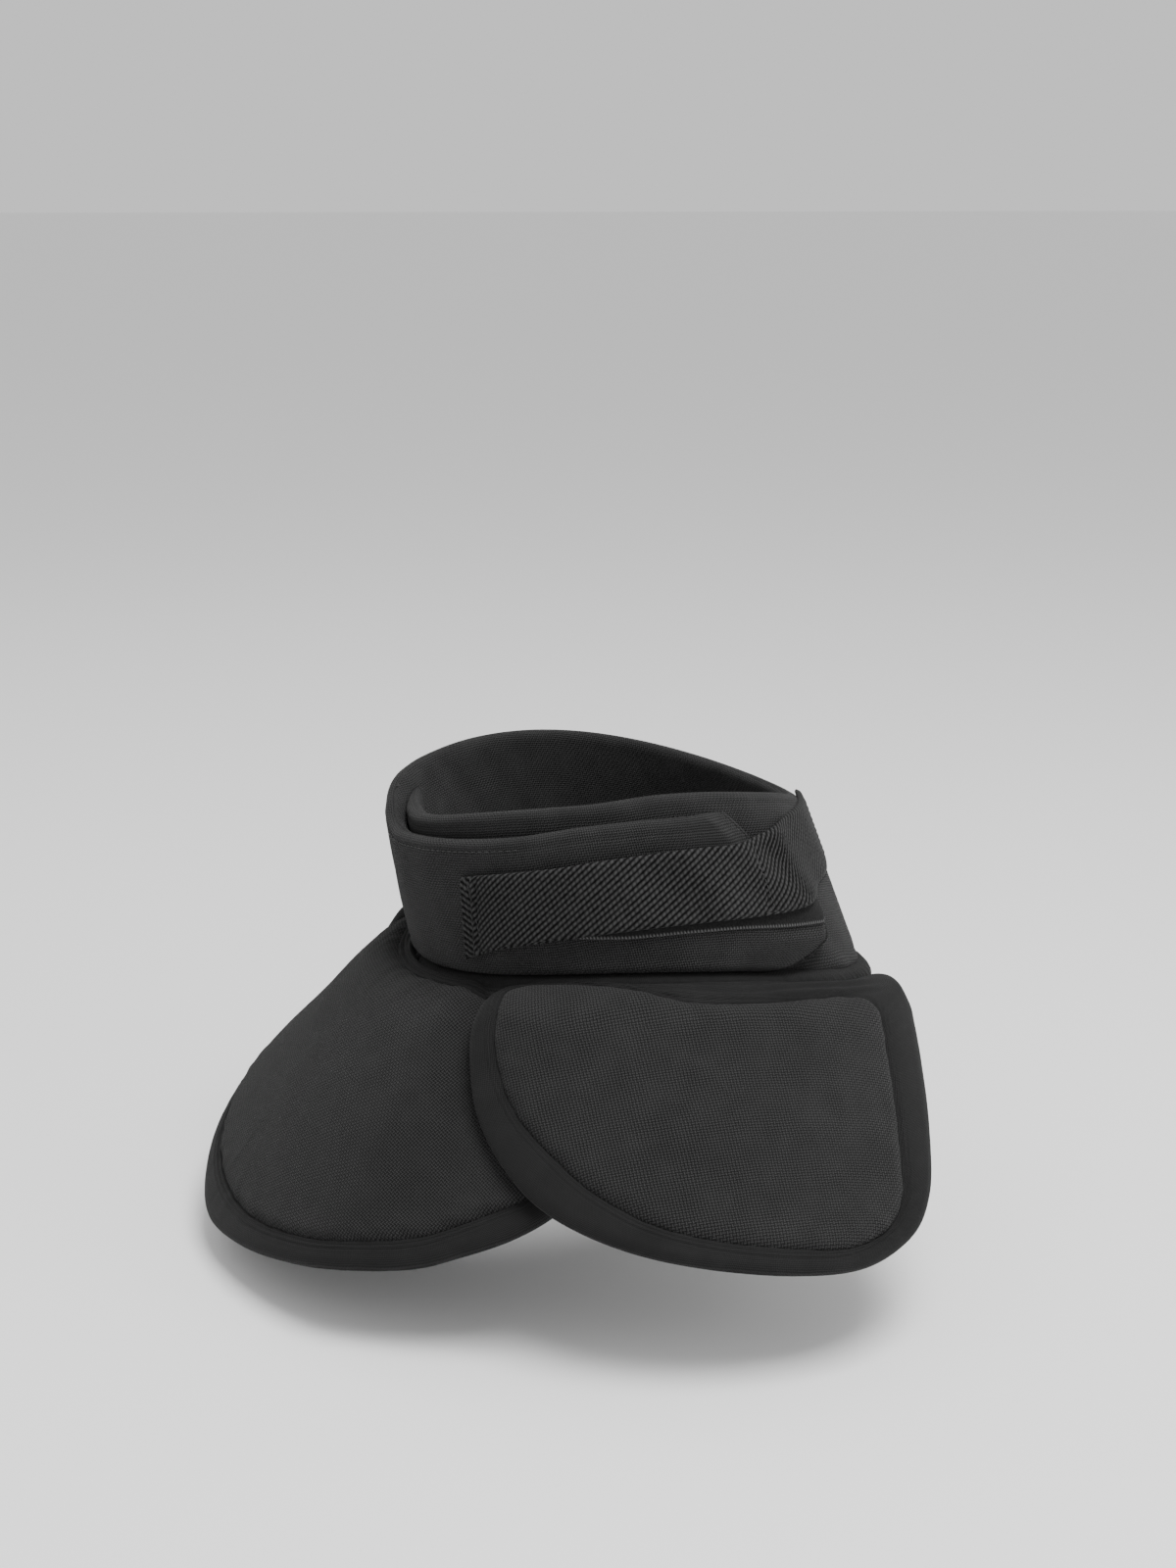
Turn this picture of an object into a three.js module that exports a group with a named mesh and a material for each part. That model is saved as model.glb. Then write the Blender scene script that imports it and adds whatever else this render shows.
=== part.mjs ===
import * as THREE from 'three';

// Padded neck protector, in the form it keeps when it is worn and closed.
// A soft collar band wraps the neck one and a half times and is held by a webbing strap.
// A padded bib hangs over the chest and two padded flaps hang over the back of the shoulders.
// Millimetres and degrees. The wearer faces -Y, the wearer's left is +X, and +Z is up.
// Angles go round the neck: 0 at the front, 90 at the wearer's left, 180 at the back.
// The origin is the centre of the neck opening, at the seam between collar and skirts.

// Neck ring that the collar follows
const COLLAR_HALF_DEPTH = 79.2;
const COLLAR_HALF_WIDTH = 75;
const COLLAR_BACKSET = 2.55;
const COLLAR_LEAN = 0.284;
const COLLAR_TAPER = 0.102;
const COLLAR_HEIGHT = 56;

// Band: a padded wall rolled into a spiral, so that its outer end laps over its inner end
const BAND_THICKNESS = 7;
const LAP_GAP = 0.6;
const BAND_START = -30;
const BAND_END = 496;
const BAND_EVEN_TURN = 255;
const BAND_STEP = 7;
const LAP_END_REACH = 45;

// Heights of the band's lower edge and of the skirts' seam, at four places round the neck.
// The closed lap lifts the left side a little above the right.
const SEAT = { front: 4, left: 14.5, rear: -7, right: 8.5 };
const SEAM = { front: 0.5, left: 9.5, rear: -11, right: 5 };
const SEAT_GAP = 0.4;

// Strap and the loop patch under it
const STRAP_WIDTH = 25;
const STRAP_THICKNESS = 2;
const STRAP_START = 37;
const STRAP_END = 172;
const STRAP_STEP = 4;
const STRAP_STEP_DOWN = 12;
const PATCH_THICKNESS = 1.2;
const PATCH_START = 47;
const PATCH_END = 132;
const PATCH_STEP = 6;
const PATCH_LAP = 12;
const FABRIC_GAP = 0.4;

// Welt: the filled seam between collar and skirts
const WELT_WIDTH = 13;
const WELT_INSET = 5.5;
const WELT_DROP = 3;
const WELT_STEPS = 60;

// Skirts: the bib and the two flaps
const SEAM_OUTSET = 1.5;
const BORDER_THICKNESS = 6.5;
const PANEL_THICKNESS = 9.5;
const PANEL_GAP = 0.3;
const LOOPS_PER_ROW = 2;
const SLOPE_STEPS = 16;
const BIB_LENGTH = 117.5;
const BIB_SPAN = 72;
const BIB_TUCK = 9;
const BIB_TUCK_FROM = 34;
const BIB_TUCK_TO = 48;
const BIB_TUCK_OUT = 2.5;
const FLAP_LENGTH = 103;
const FLAP_START = 41;
const FLAP_END = 164;
const FLAP_LIFT = 4;
const FLAP_LIFT_LENGTH = 20;

// How a skirt leaves the neck. It starts at the angle start below level, bends over the
// length bend, and then runs straight at its slope. Fan is how far it spreads for each
// degree round the neck, and curl is how much it flattens towards its rear end.
const BIB_FALL = {
  middle: 0, fan: 1, curl: 0, start: 12, bend: 20, slope: { front: 52, left: 46, rear: 54, right: 37 },
};
const FLAP_FALL = {
  middle: 95, fan: 0.65, curl: 0.17, start: 5, bend: 20, slope: { front: 54, left: 50, rear: 60, right: 42 },
};

// Band height at each turn, as a share of COLLAR_HEIGHT
const BAND_TOP = [
  { turn: -30, height: 0.93 },
  { turn: 10, height: 0.94 },
  { turn: 36, height: 0.96 },
  { turn: 76, height: 0.97 },
  { turn: 99, height: 1.04 },
  { turn: 121, height: 1.095 },
  { turn: 146, height: 1.13 },
  { turn: 167, height: 1.11 },
  { turn: 185, height: 1.1 },
  { turn: 237, height: 1.06 },
  { turn: 270, height: 1.04 },
  { turn: 307, height: 1.02 },
  { turn: 330, height: 1.01 },
  { turn: 345, height: 0.94 },
  { turn: 358, height: 0.85 },
  { turn: 382, height: 0.838 },
  { turn: 414, height: 0.832 },
  { turn: 434, height: 0.876 },
  { turn: 460, height: 0.932 },
  { turn: 479, height: 0.952 },
  { turn: 496, height: 0.98 },
];

// Outline of the band's free end: how many degrees it stops short at each share of its height
const LAP_END = [
  { up: 0, short: 26 },
  { up: 0.025, short: 21 },
  { up: 0.085, short: 14 },
  { up: 0.17, short: 7 },
  { up: 0.23, short: 3 },
  { up: 0.32, short: 2 },
  { up: 0.45, short: 5 },
  { up: 0.7, short: 12 },
  { up: 0.9, short: 18 },
  { up: 1, short: 22 },
];

// Height of the strap's middle, as a share of COLLAR_HEIGHT, and how tall the strap is there,
// as a share of STRAP_WIDTH.
// Elastic webbing narrows where it is stretched, so the free tip is the widest part.
const STRAP_ROUTE = [
  { angle: 37, height: 0.553, tall: 1.12 },
  { angle: 44, height: 0.602, tall: 1.088 },
  { angle: 50, height: 0.641, tall: 1.04 },
  { angle: 62, height: 0.704, tall: 0.988 },
  { angle: 74, height: 0.759, tall: 0.976 },
  { angle: 86, height: 0.792, tall: 0.98 },
  { angle: 98, height: 0.803, tall: 0.98 },
  { angle: 110, height: 0.792, tall: 0.976 },
  { angle: 122, height: 0.787, tall: 1.024 },
  { angle: 135, height: 0.788, tall: 1.048 },
  { angle: 172, height: 0.79, tall: 1 },
];

// Height of the loop patch's lower edge, as a share of COLLAR_HEIGHT
const PATCH_ROUTE = [
  { angle: 47, height: 0.45 },
  { angle: 62, height: 0.488 },
  { angle: 77, height: 0.497 },
  { angle: 91, height: 0.513 },
  { angle: 105, height: 0.5 },
  { angle: 118, height: 0.455 },
  { angle: 132, height: 0.404 },
];

// Outlines from the lowest point round the wearer's left end and back along the seam.
// Edge and pad are the outer edge and the edge of the padded panel. Across is a share of the
// bib's half span or of the flap's sweep round the neck, down is a share of the length.
const BIB_OUTLINE = [
  { edgeAcross: 0, edgeDown: 0.997, padAcross: 0, padDown: 0.889 },
  { edgeAcross: 0.167, edgeDown: 0.969, padAcross: 0.167, padDown: 0.885 },
  { edgeAcross: 0.333, edgeDown: 0.934, padAcross: 0.313, padDown: 0.864 },
  { edgeAcross: 0.472, edgeDown: 0.902, padAcross: 0.447, padDown: 0.838 },
  { edgeAcross: 0.586, edgeDown: 0.848, padAcross: 0.563, padDown: 0.787 },
  { edgeAcross: 0.694, edgeDown: 0.787, padAcross: 0.665, padDown: 0.724 },
  { edgeAcross: 0.801, edgeDown: 0.723, padAcross: 0.75, padDown: 0.666 },
  { edgeAcross: 0.882, edgeDown: 0.649, padAcross: 0.833, padDown: 0.609 },
  { edgeAcross: 0.958, edgeDown: 0.528, padAcross: 0.896, padDown: 0.494 },
  { edgeAcross: 1, edgeDown: 0.366, padAcross: 0.917, padDown: 0.357 },
  { edgeAcross: 0.972, edgeDown: 0.187, padAcross: 0.889, padDown: 0.213 },
  { edgeAcross: 0.861, edgeDown: 0.047, padAcross: 0.792, padDown: 0.11 },
  { edgeAcross: 0.694, edgeDown: 0.004, padAcross: 0.64, padDown: 0.051 },
  { edgeAcross: 0.444, edgeDown: 0, padAcross: 0.43, padDown: 0.037 },
  { edgeAcross: 0.208, edgeDown: 0, padAcross: 0.2, padDown: 0.037 },
  { edgeAcross: 0, edgeDown: 0, padAcross: 0, padDown: 0.037 },
];
const FLAP_OUTLINE = [
  { edgeAcross: 0.434, edgeDown: 0.997, padAcross: 0.431, padDown: 0.927 },
  { edgeAcross: 0.512, edgeDown: 0.993, padAcross: 0.488, padDown: 0.938 },
  { edgeAcross: 0.604, edgeDown: 0.912, padAcross: 0.546, padDown: 0.906 },
  { edgeAcross: 0.668, edgeDown: 0.791, padAcross: 0.595, padDown: 0.83 },
  { edgeAcross: 0.738, edgeDown: 0.575, padAcross: 0.646, padDown: 0.602 },
  { edgeAcross: 0.818, edgeDown: 0.32, padAcross: 0.695, padDown: 0.33 },
  { edgeAcross: 0.878, edgeDown: 0.15, padAcross: 0.72, padDown: 0.194 },
  { edgeAcross: 0.965, edgeDown: 0.05, padAcross: 0.715, padDown: 0.136 },
  { edgeAcross: 0.93, edgeDown: 0.008, padAcross: 0.675, padDown: 0.117 },
  { edgeAcross: 0.764, edgeDown: 0.005, padAcross: 0.585, padDown: 0.119 },
  { edgeAcross: 0.561, edgeDown: 0, padAcross: 0.496, padDown: 0.126 },
  { edgeAcross: 0.358, edgeDown: 0, padAcross: 0.366, padDown: 0.117 },
  { edgeAcross: 0.211, edgeDown: 0, padAcross: 0.228, padDown: 0.053 },
  { edgeAcross: 0.089, edgeDown: 0, padAcross: 0.106, padDown: 0.039 },
  { edgeAcross: 0.016, edgeDown: 0.068, padAcross: 0.05, padDown: 0.075 },
  { edgeAcross: 0, edgeDown: 0.204, padAcross: 0.057, padDown: 0.175 },
  { edgeAcross: 0.015, edgeDown: 0.333, padAcross: 0.074, padDown: 0.304 },
  { edgeAcross: 0.045, edgeDown: 0.489, padAcross: 0.11, padDown: 0.476 },
  { edgeAcross: 0.103, edgeDown: 0.669, padAcross: 0.159, padDown: 0.621 },
  { edgeAcross: 0.156, edgeDown: 0.786, padAcross: 0.203, padDown: 0.718 },
  { edgeAcross: 0.244, edgeDown: 0.898, padAcross: 0.276, padDown: 0.835 },
  { edgeAcross: 0.333, edgeDown: 0.961, padAcross: 0.35, padDown: 0.893 },
];

// Section of a border, from its outer edge over the face to the panel and back underneath.
// In is a share of the border's width, lift a share of its thickness.
const BORDER_SECTION = [
  { in: 0, lift: 0 },
  { in: 0.12, lift: 0.36 },
  { in: 0.42, lift: 0.5 },
  { in: 0.9, lift: 0.38 },
  { in: 1, lift: 0 },
  { in: 0.9, lift: -0.38 },
  { in: 0.42, lift: -0.5 },
  { in: 0.12, lift: -0.36 },
];

// Section of a panel, from its middle over the face to its edge and back underneath.
// In is a share of the way from the edge to the middle, lift a share of its thickness.
const PANEL_SECTION = [
  { in: 0.93, lift: 0.5 },
  { in: 0.7, lift: 0.5 },
  { in: 0.42, lift: 0.5 },
  { in: 0.18, lift: 0.49 },
  { in: 0.05, lift: 0.42 },
  { in: 0, lift: 0.2 },
  { in: 0, lift: -0.2 },
  { in: 0.06, lift: -0.42 },
  { in: 0.4, lift: -0.5 },
  { in: 0.93, lift: -0.5 },
];

const radians = THREE.MathUtils.degToRad;

function ease(share) {
  const s = THREE.MathUtils.clamp(share, 0, 1);
  return s * s * (3 - 2 * s);
}

// Smooth value round the neck through its front, left, rear and right values
function roundNeck(values, angle) {
  const ends = (values.front + values.rear) / 4;
  const sides = (values.left + values.right) / 4;
  const turn = radians(angle);
  return ends + sides + (ends - sides) * Math.cos(2 * turn)
    + (values.front - values.rear) / 2 * Math.cos(turn)
    + (values.left - values.right) / 2 * Math.sin(turn);
}

// Value of one column of a table at a place in another, eased between neighbouring rows
function tableValue(table, key, column, place) {
  const last = table.length - 1;
  if (place <= table[0][key]) return table[0][column];
  if (place >= table[last][key]) return table[last][column];
  const upper = table.findIndex((row) => row[key] >= place);
  const at = (row) => table[THREE.MathUtils.clamp(row, 0, last)];
  const slope = (row) => (at(row + 1)[column] - at(row - 1)[column])
    / (at(row + 1)[key] - at(row - 1)[key]);
  const from = at(upper - 1);
  const to = at(upper);
  const length = to[key] - from[key];
  const s = (place - from[key]) / length;
  return from[column] * (1 + 2 * s) * (1 - s) ** 2 + slope(upper - 1) * length * s * (1 - s) ** 2
    + to[column] * s * s * (3 - 2 * s) + slope(upper) * length * s * s * (s - 1);
}

// Point at an angle and height on the leaning, tapering neck ring, set out from it
function ringPoint(angle, height, out) {
  const turn = radians(angle);
  const depth = COLLAR_HALF_DEPTH - COLLAR_TAPER * height + out;
  const width = COLLAR_HALF_WIDTH - COLLAR_TAPER * height + out;
  const middle = COLLAR_BACKSET - COLLAR_LEAN * height;
  return new THREE.Vector3(width * Math.sin(turn), middle - depth * Math.cos(turn), height);
}

// How far outside the ring the band's middle lies at a turn of its spiral
function bandOut(turn) {
  const pitch = BAND_THICKNESS + LAP_GAP;
  return pitch * (turn - BAND_EVEN_TURN) / 360 - BAND_THICKNESS / 2;
}

// Closed body skinned over loops of equal length, listed along it.
// Ends is 'joined' for a ring, 'zipped' to close flat loops whose two faces mirror each other,
// or 'fanned' to close each end loop on its centre.
function skin(loops, ends) {
  const count = loops[0].length;
  const points = loops.flat();
  const triangles = [];
  const rows = ends === 'joined' ? loops.length : loops.length - 1;
  for (let row = 0; row < rows; row += 1) {
    const next = (row + 1) % loops.length;
    for (let i = 0; i < count; i += 1) {
      const j = (i + 1) % count;
      const [a, b] = [row * count + i, row * count + j];
      const [c, d] = [next * count + i, next * count + j];
      triangles.push([a, b, d], [a, d, c]);
    }
  }
  const closeEnd = (row, flip) => {
    const first = row * count;
    const faces = [];
    if (ends === 'fanned') {
      const centre = new THREE.Vector3();
      loops[row].forEach((point) => centre.addScaledVector(point, 1 / count));
      points.push(centre);
      for (let i = 0; i < count; i += 1) {
        faces.push([first + (i + 1) % count, first + i, points.length - 1]);
      }
    } else {
      for (let i = 0; i < count / 2; i += 1) {
        const [a, b] = [first + i, first + i + 1];
        const [c, d] = [first + count - i - 1, first + (count - i) % count];
        if (b !== c) faces.push([b, a, c]);
        if (a !== d) faces.push([a, d, c]);
      }
    }
    faces.forEach((face) => triangles.push(flip ? face.reverse() : face));
  };
  if (ends !== 'joined') {
    closeEnd(0, false);
    closeEnd(loops.length - 1, true);
  }
  const volume = triangles.reduce((sum, [a, b, c]) => (
    sum + points[a].dot(points[b].clone().cross(points[c]))), 0);
  if (volume < 0) triangles.forEach((face) => face.reverse());
  const geometry = new THREE.BufferGeometry().setFromPoints(points);
  geometry.setIndex(triangles.flat());
  geometry.computeVertexNormals();
  return geometry;
}

// Steps from one value to another, both included, no longer than the given step
function steps(from, to, step) {
  const count = Math.ceil((to - from) / step);
  return Array.from({ length: count + 1 }, (_, i) => from + (to - from) * i / count);
}

// Upright rounded section, starting at its top: up from the bottom, out from the middle
function uprightSection(height, thickness, roundSteps, faceSteps) {
  const radius = thickness / 2;
  const half = [];
  for (let i = 0; i < roundSteps; i += 1) {
    const angle = Math.PI / 2 * i / roundSteps;
    half.push({ up: height - radius + radius * Math.cos(angle), out: radius * Math.sin(angle) });
  }
  for (let i = 0; i <= faceSteps; i += 1) {
    half.push({ up: height - radius - (height - thickness) * i / faceSteps, out: radius });
  }
  for (let i = 1; i <= roundSteps; i += 1) {
    const angle = Math.PI / 2 * i / roundSteps;
    half.push({ up: radius - radius * Math.sin(angle), out: radius * Math.cos(angle) });
  }
  const inner = half.slice(1, -1).reverse().map((point) => ({ up: point.up, out: -point.out }));
  return [...half, ...inner];
}

// Band: one padded wall along the spiral, its free end cut to a round outline
function collarBand() {
  const turns = steps(BAND_START, BAND_END, BAND_STEP);
  const edgeRoll = BAND_THICKNESS / COLLAR_HALF_DEPTH * 180 / Math.PI / 2;
  turns.splice(1, 0, BAND_START + edgeRoll / 2);
  turns.splice(-1, 0, BAND_END - edgeRoll / 2);
  const loops = turns.map((turn) => {
    const height = COLLAR_HEIGHT * tableValue(BAND_TOP, 'turn', 'height', turn);
    const toEnd = Math.min(turn - BAND_START, BAND_END - turn) / edgeRoll;
    const roll = 0.4 + 0.6 * Math.sqrt(Math.min(1, toEnd));
    const nearEnd = ease((turn - BAND_END + LAP_END_REACH) / LAP_END_REACH);
    return uprightSection(height, BAND_THICKNESS, 2, 4).map(({ up, out }) => {
      const short = nearEnd * tableValue(LAP_END, 'up', 'short', up / height);
      const place = turn - short;
      const base = roundNeck(SEAT, place) + SEAT_GAP;
      return ringPoint(place, base + up, bandOut(place) + out * roll);
    });
  });
  return skin(loops, 'zipped');
}

// Outside face of whichever layer of the band is outermost at an angle
function bandFace(angle) {
  const past = ease((angle + 360 - BAND_END - 0.5) / STRAP_STEP_DOWN);
  return bandOut(angle + 360 * (1 - past)) + BAND_THICKNESS / 2;
}

// Strip lying on the band: its lower edge, height and thickness are given at each angle
function stripOnBand(angles, stripAt) {
  const loops = angles.map((angle) => {
    const { bottom, height, inside, thickness } = stripAt(angle);
    const middle = inside + thickness / 2;
    return uprightSection(height, thickness, 1, 2).map(({ up, out }) => (
      ringPoint(angle, bottom + up, middle + out)));
  });
  return skin(loops, 'zipped');
}

// Strap: webbing over the patch, down off the end of the lap and on round the back
function closureStrap() {
  return stripOnBand(steps(STRAP_START, STRAP_END, STRAP_STEP), (angle) => {
    const onPatch = ease((angle - STRAP_START) / (PATCH_START - STRAP_START))
      * (1 - ease((angle - PATCH_END) / STRAP_STEP_DOWN));
    const tall = STRAP_WIDTH * tableValue(STRAP_ROUTE, 'angle', 'tall', angle);
    return {
      bottom: COLLAR_HEIGHT * tableValue(STRAP_ROUTE, 'angle', 'height', angle) - tall / 2,
      height: tall,
      inside: bandFace(angle) + FABRIC_GAP + onPatch * (PATCH_THICKNESS + FABRIC_GAP),
      thickness: STRAP_THICKNESS,
    };
  });
}

// Loop patch: sewn to the lap, mostly under the strap, with its lower edge showing
function loopPatch() {
  return stripOnBand(steps(PATCH_START, PATCH_END, PATCH_STEP), (angle) => {
    const bottom = COLLAR_HEIGHT * tableValue(PATCH_ROUTE, 'angle', 'height', angle);
    const strapMiddle = COLLAR_HEIGHT * tableValue(STRAP_ROUTE, 'angle', 'height', angle);
    return {
      bottom,
      height: Math.max(strapMiddle - bottom, 0) + PATCH_LAP / 2,
      inside: bandFace(angle) + FABRIC_GAP,
      thickness: PATCH_THICKNESS,
    };
  });
}

// Welt: a ring filling the seam from just under the band to below the skirts' edge.
// Its section is the upright one laid flat, with round sides.
function baseWelt() {
  const loops = steps(0, 360, 360 / WELT_STEPS).slice(0, -1).map((angle) => {
    const top = roundNeck(SEAT, angle);
    const bottom = roundNeck(SEAM, angle) - WELT_DROP;
    return uprightSection(WELT_WIDTH, top - bottom, 2, 1).map(({ up, out }) => (
      ringPoint(angle, (top + bottom) / 2 + out, up - WELT_WIDTH / 2 - WELT_INSET)));
  });
  return skin(loops, 'joined');
}

// Middle surface of a skirt at an angle round the neck and a length down from the seam.
// Hand is 1 where angles run to the wearer's left, and -1 on the right flap.
function skirtMiddle(skirt, angle, down) {
  const fromMiddle = radians(angle - skirt.fall.middle);
  const heading = radians(skirt.fall.middle) + skirt.fall.fan * fromMiddle
    - skirt.fall.curl * fromMiddle ** 2;
  const start = radians(skirt.fall.start);
  const around = angle * skirt.hand;
  const slope = radians(roundNeck(skirt.fall.slope, around));
  const bent = Math.min(down, skirt.fall.bend);
  let out = Math.max(down - skirt.fall.bend, 0) * Math.cos(slope);
  let drop = Math.max(down - skirt.fall.bend, 0) * Math.sin(slope);
  for (let i = 0; i < SLOPE_STEPS; i += 1) {
    const at = bent * (i + 0.5) / SLOPE_STEPS;
    const dip = start + (slope - start) * at / skirt.fall.bend;
    out += Math.cos(dip) * bent / SLOPE_STEPS;
    drop += Math.sin(dip) * bent / SLOPE_STEPS;
  }
  const outset = SEAM_OUTSET + BIB_TUCK_OUT * skirt.tucked(angle);
  const point = ringPoint(around, roundNeck(SEAM, around), outset);
  point.x += out * Math.sin(heading) * skirt.hand;
  point.y -= out * Math.cos(heading);
  point.z -= drop;
  return point;
}

// Point lifted off a skirt's middle surface, along its normal
function skirtPoint(skirt, angle, down, lift) {
  const nudge = 0.05;
  const round = skirtMiddle(skirt, angle + nudge, down).sub(skirtMiddle(skirt, angle - nudge, down));
  const fall = skirtMiddle(skirt, angle, down + nudge).sub(skirtMiddle(skirt, angle, down - nudge));
  const normal = fall.cross(round).multiplyScalar(skirt.hand).normalize();
  const rise = FLAP_LIFT * skirt.lifted * ease(down / FLAP_LIFT_LENGTH);
  const total = lift + rise - BIB_TUCK * skirt.tucked(angle);
  return skirtMiddle(skirt, angle, down).addScaledVector(normal, total);
}

// Smooth closed outline through one pair of columns of a skirt's table
function skirtOutline(skirt, across, down) {
  const corners = skirt.outline.map((row) => new THREE.Vector3(
    skirt.from + skirt.sweep * row[across], skirt.length * row[down], 0));
  const curve = new THREE.CatmullRomCurve3(corners, true, 'centripetal');
  const count = corners.length * LOOPS_PER_ROW;
  return Array.from({ length: count }, (_, i) => curve.getPoint(i / count));
}

// Border: a soft rolled frame between a skirt's outer edge and its panel
function skirtBorder(skirt) {
  const edge = skirtOutline(skirt, 'edgeAcross', 'edgeDown');
  const pad = skirtOutline(skirt, 'padAcross', 'padDown');
  const loops = edge.map((outer, i) => {
    const from = skirtPoint(skirt, outer.x, outer.y, 0);
    const to = skirtPoint(skirt, pad[i].x, pad[i].y, 0);
    const width = from.distanceTo(to);
    const share = (width - PANEL_GAP) / width;
    return BORDER_SECTION.map((row) => {
      const place = outer.clone().lerp(pad[i], row.in * share);
      return skirtPoint(skirt, place.x, place.y, row.lift * BORDER_THICKNESS);
    });
  });
  return skin(loops, 'joined');
}

// Panel: the padded insert, crowned at its edge and flat over its middle
function skirtPanel(skirt) {
  const pad = skirtOutline(skirt, 'padAcross', 'padDown');
  const centre = new THREE.Vector3();
  pad.forEach((point) => centre.addScaledVector(point, 1 / pad.length));
  const loops = PANEL_SECTION.map((row) => pad.map((point) => {
    const place = point.clone().lerp(centre, row.in);
    return skirtPoint(skirt, place.x, place.y, row.lift * PANEL_THICKNESS);
  }));
  return skin(loops, 'fanned');
}

// The bib's table gives its left half, and the right half mirrors it
const bibOtherHalf = BIB_OUTLINE.slice(1, -1).reverse().map((row) => (
  { ...row, edgeAcross: -row.edgeAcross, padAcross: -row.padAcross }));
const bib = {
  hand: 1,
  fall: BIB_FALL,
  outline: [...BIB_OUTLINE, ...bibOtherHalf],
  from: 0,
  sweep: BIB_SPAN,
  length: BIB_LENGTH,
  lifted: 0,
  tucked: (angle) => ease((Math.abs(angle) - BIB_TUCK_FROM) / (BIB_TUCK_TO - BIB_TUCK_FROM)),
};
const leftFlap = {
  hand: 1,
  fall: FLAP_FALL,
  outline: FLAP_OUTLINE,
  from: FLAP_START,
  sweep: FLAP_END - FLAP_START,
  length: FLAP_LENGTH,
  lifted: 1,
  tucked: () => 0,
};
const rightFlap = { ...leftFlap, hand: -1 };

const collarCloth = { color: 0x17171a, roughness: 0.92, metalness: 0 };
const panelCloth = { color: 0x222226, roughness: 0.95, metalness: 0 };
const borderCloth = { color: 0x141417, roughness: 0.88, metalness: 0 };
const webbing = { color: 0x1a1a1c, roughness: 0.8, metalness: 0 };
const loopTape = { color: 0x5a5a5c, roughness: 1, metalness: 0 };

const gorget = new THREE.Group();

function addPiece(name, geometry, finish) {
  const mesh = new THREE.Mesh(geometry, new THREE.MeshStandardMaterial(finish));
  mesh.name = name;
  gorget.add(mesh);
}

addPiece('collar_band', collarBand(), collarCloth);
addPiece('closure_strap', closureStrap(), webbing);
addPiece('loop_patch', loopPatch(), loopTape);
addPiece('base_welt', baseWelt(), borderCloth);
addPiece('front_bib_panel', skirtPanel(bib), panelCloth);
addPiece('front_bib_border', skirtBorder(bib), borderCloth);
addPiece('rear_left_panel', skirtPanel(leftFlap), panelCloth);
addPiece('rear_left_border', skirtBorder(leftFlap), borderCloth);
addPiece('rear_right_panel', skirtPanel(rightFlap), panelCloth);
addPiece('rear_right_border', skirtBorder(rightFlap), borderCloth);

export default gorget;
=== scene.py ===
# %% [markdown]
# Padded neck protector.
# A soft collar wraps the neck one and a half times. A bib hangs over the chest and two flaps
# hang over the back of the shoulders. Every piece here is black woven nylon over soft padding,
# so the lesson is about shapes that are full and soft, and about dark cloth that still reads.
# The measured model is loaded first. Each piece below takes the place of one of its solids.

# %% Load the measured model
import bpy
import numpy as np
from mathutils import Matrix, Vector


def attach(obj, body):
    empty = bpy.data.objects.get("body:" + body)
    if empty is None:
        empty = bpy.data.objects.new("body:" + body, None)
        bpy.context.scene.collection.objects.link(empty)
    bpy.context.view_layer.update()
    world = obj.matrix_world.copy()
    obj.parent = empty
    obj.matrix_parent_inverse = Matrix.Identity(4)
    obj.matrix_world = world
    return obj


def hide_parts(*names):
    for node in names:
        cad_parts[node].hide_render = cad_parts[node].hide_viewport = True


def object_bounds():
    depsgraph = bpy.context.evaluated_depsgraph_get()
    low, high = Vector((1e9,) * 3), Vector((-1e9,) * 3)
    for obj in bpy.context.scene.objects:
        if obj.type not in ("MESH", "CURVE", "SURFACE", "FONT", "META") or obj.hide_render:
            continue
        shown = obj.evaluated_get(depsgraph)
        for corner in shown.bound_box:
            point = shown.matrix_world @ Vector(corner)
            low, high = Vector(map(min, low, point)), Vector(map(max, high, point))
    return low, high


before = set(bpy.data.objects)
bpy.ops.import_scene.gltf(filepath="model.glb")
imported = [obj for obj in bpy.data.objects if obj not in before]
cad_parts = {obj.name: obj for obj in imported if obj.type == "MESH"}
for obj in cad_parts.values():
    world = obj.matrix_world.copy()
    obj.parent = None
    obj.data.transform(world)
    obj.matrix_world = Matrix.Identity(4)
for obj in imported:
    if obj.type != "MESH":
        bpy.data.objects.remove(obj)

MEASURED_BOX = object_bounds()
MM = 0.001
print("solids:", sorted(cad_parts))

# %% [markdown]
# The camera comes first, because every choice of detail depends on how large a thing looks.
# It stands on the wearer's left, well above the collar and a little in front, and looks down
# by fourteen degrees. A lens of 54 mm on a 36 mm sensor gives the gentle perspective of a
# product photograph. The view direction is worked out from two angles, so no target object
# and no constraint is needed.

# %% Camera
CAMERA_AROUND = np.radians(75)
CAMERA_ABOVE = np.radians(14)
CAMERA_DISTANCE = 828 * MM
LOOK_AT = np.array([0, -16.8, 61.6]) * MM
LENS = 54

backwards = np.array([
    np.sin(CAMERA_AROUND) * np.cos(CAMERA_ABOVE),
    -np.cos(CAMERA_AROUND) * np.cos(CAMERA_ABOVE),
    np.sin(CAMERA_ABOVE),
])
camera = bpy.data.objects.new("camera", bpy.data.cameras.new("camera"))
camera.data.lens = LENS
camera.data.sensor_width = 36
camera.data.clip_start = 0.01
camera.location = LOOK_AT + CAMERA_DISTANCE * backwards
camera.rotation_euler = (np.pi / 2 - CAMERA_ABOVE, 0, CAMERA_AROUND)
bpy.context.scene.collection.objects.link(camera)
bpy.context.scene.camera = camera
print("camera at", np.round(camera.location, 3))

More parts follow.
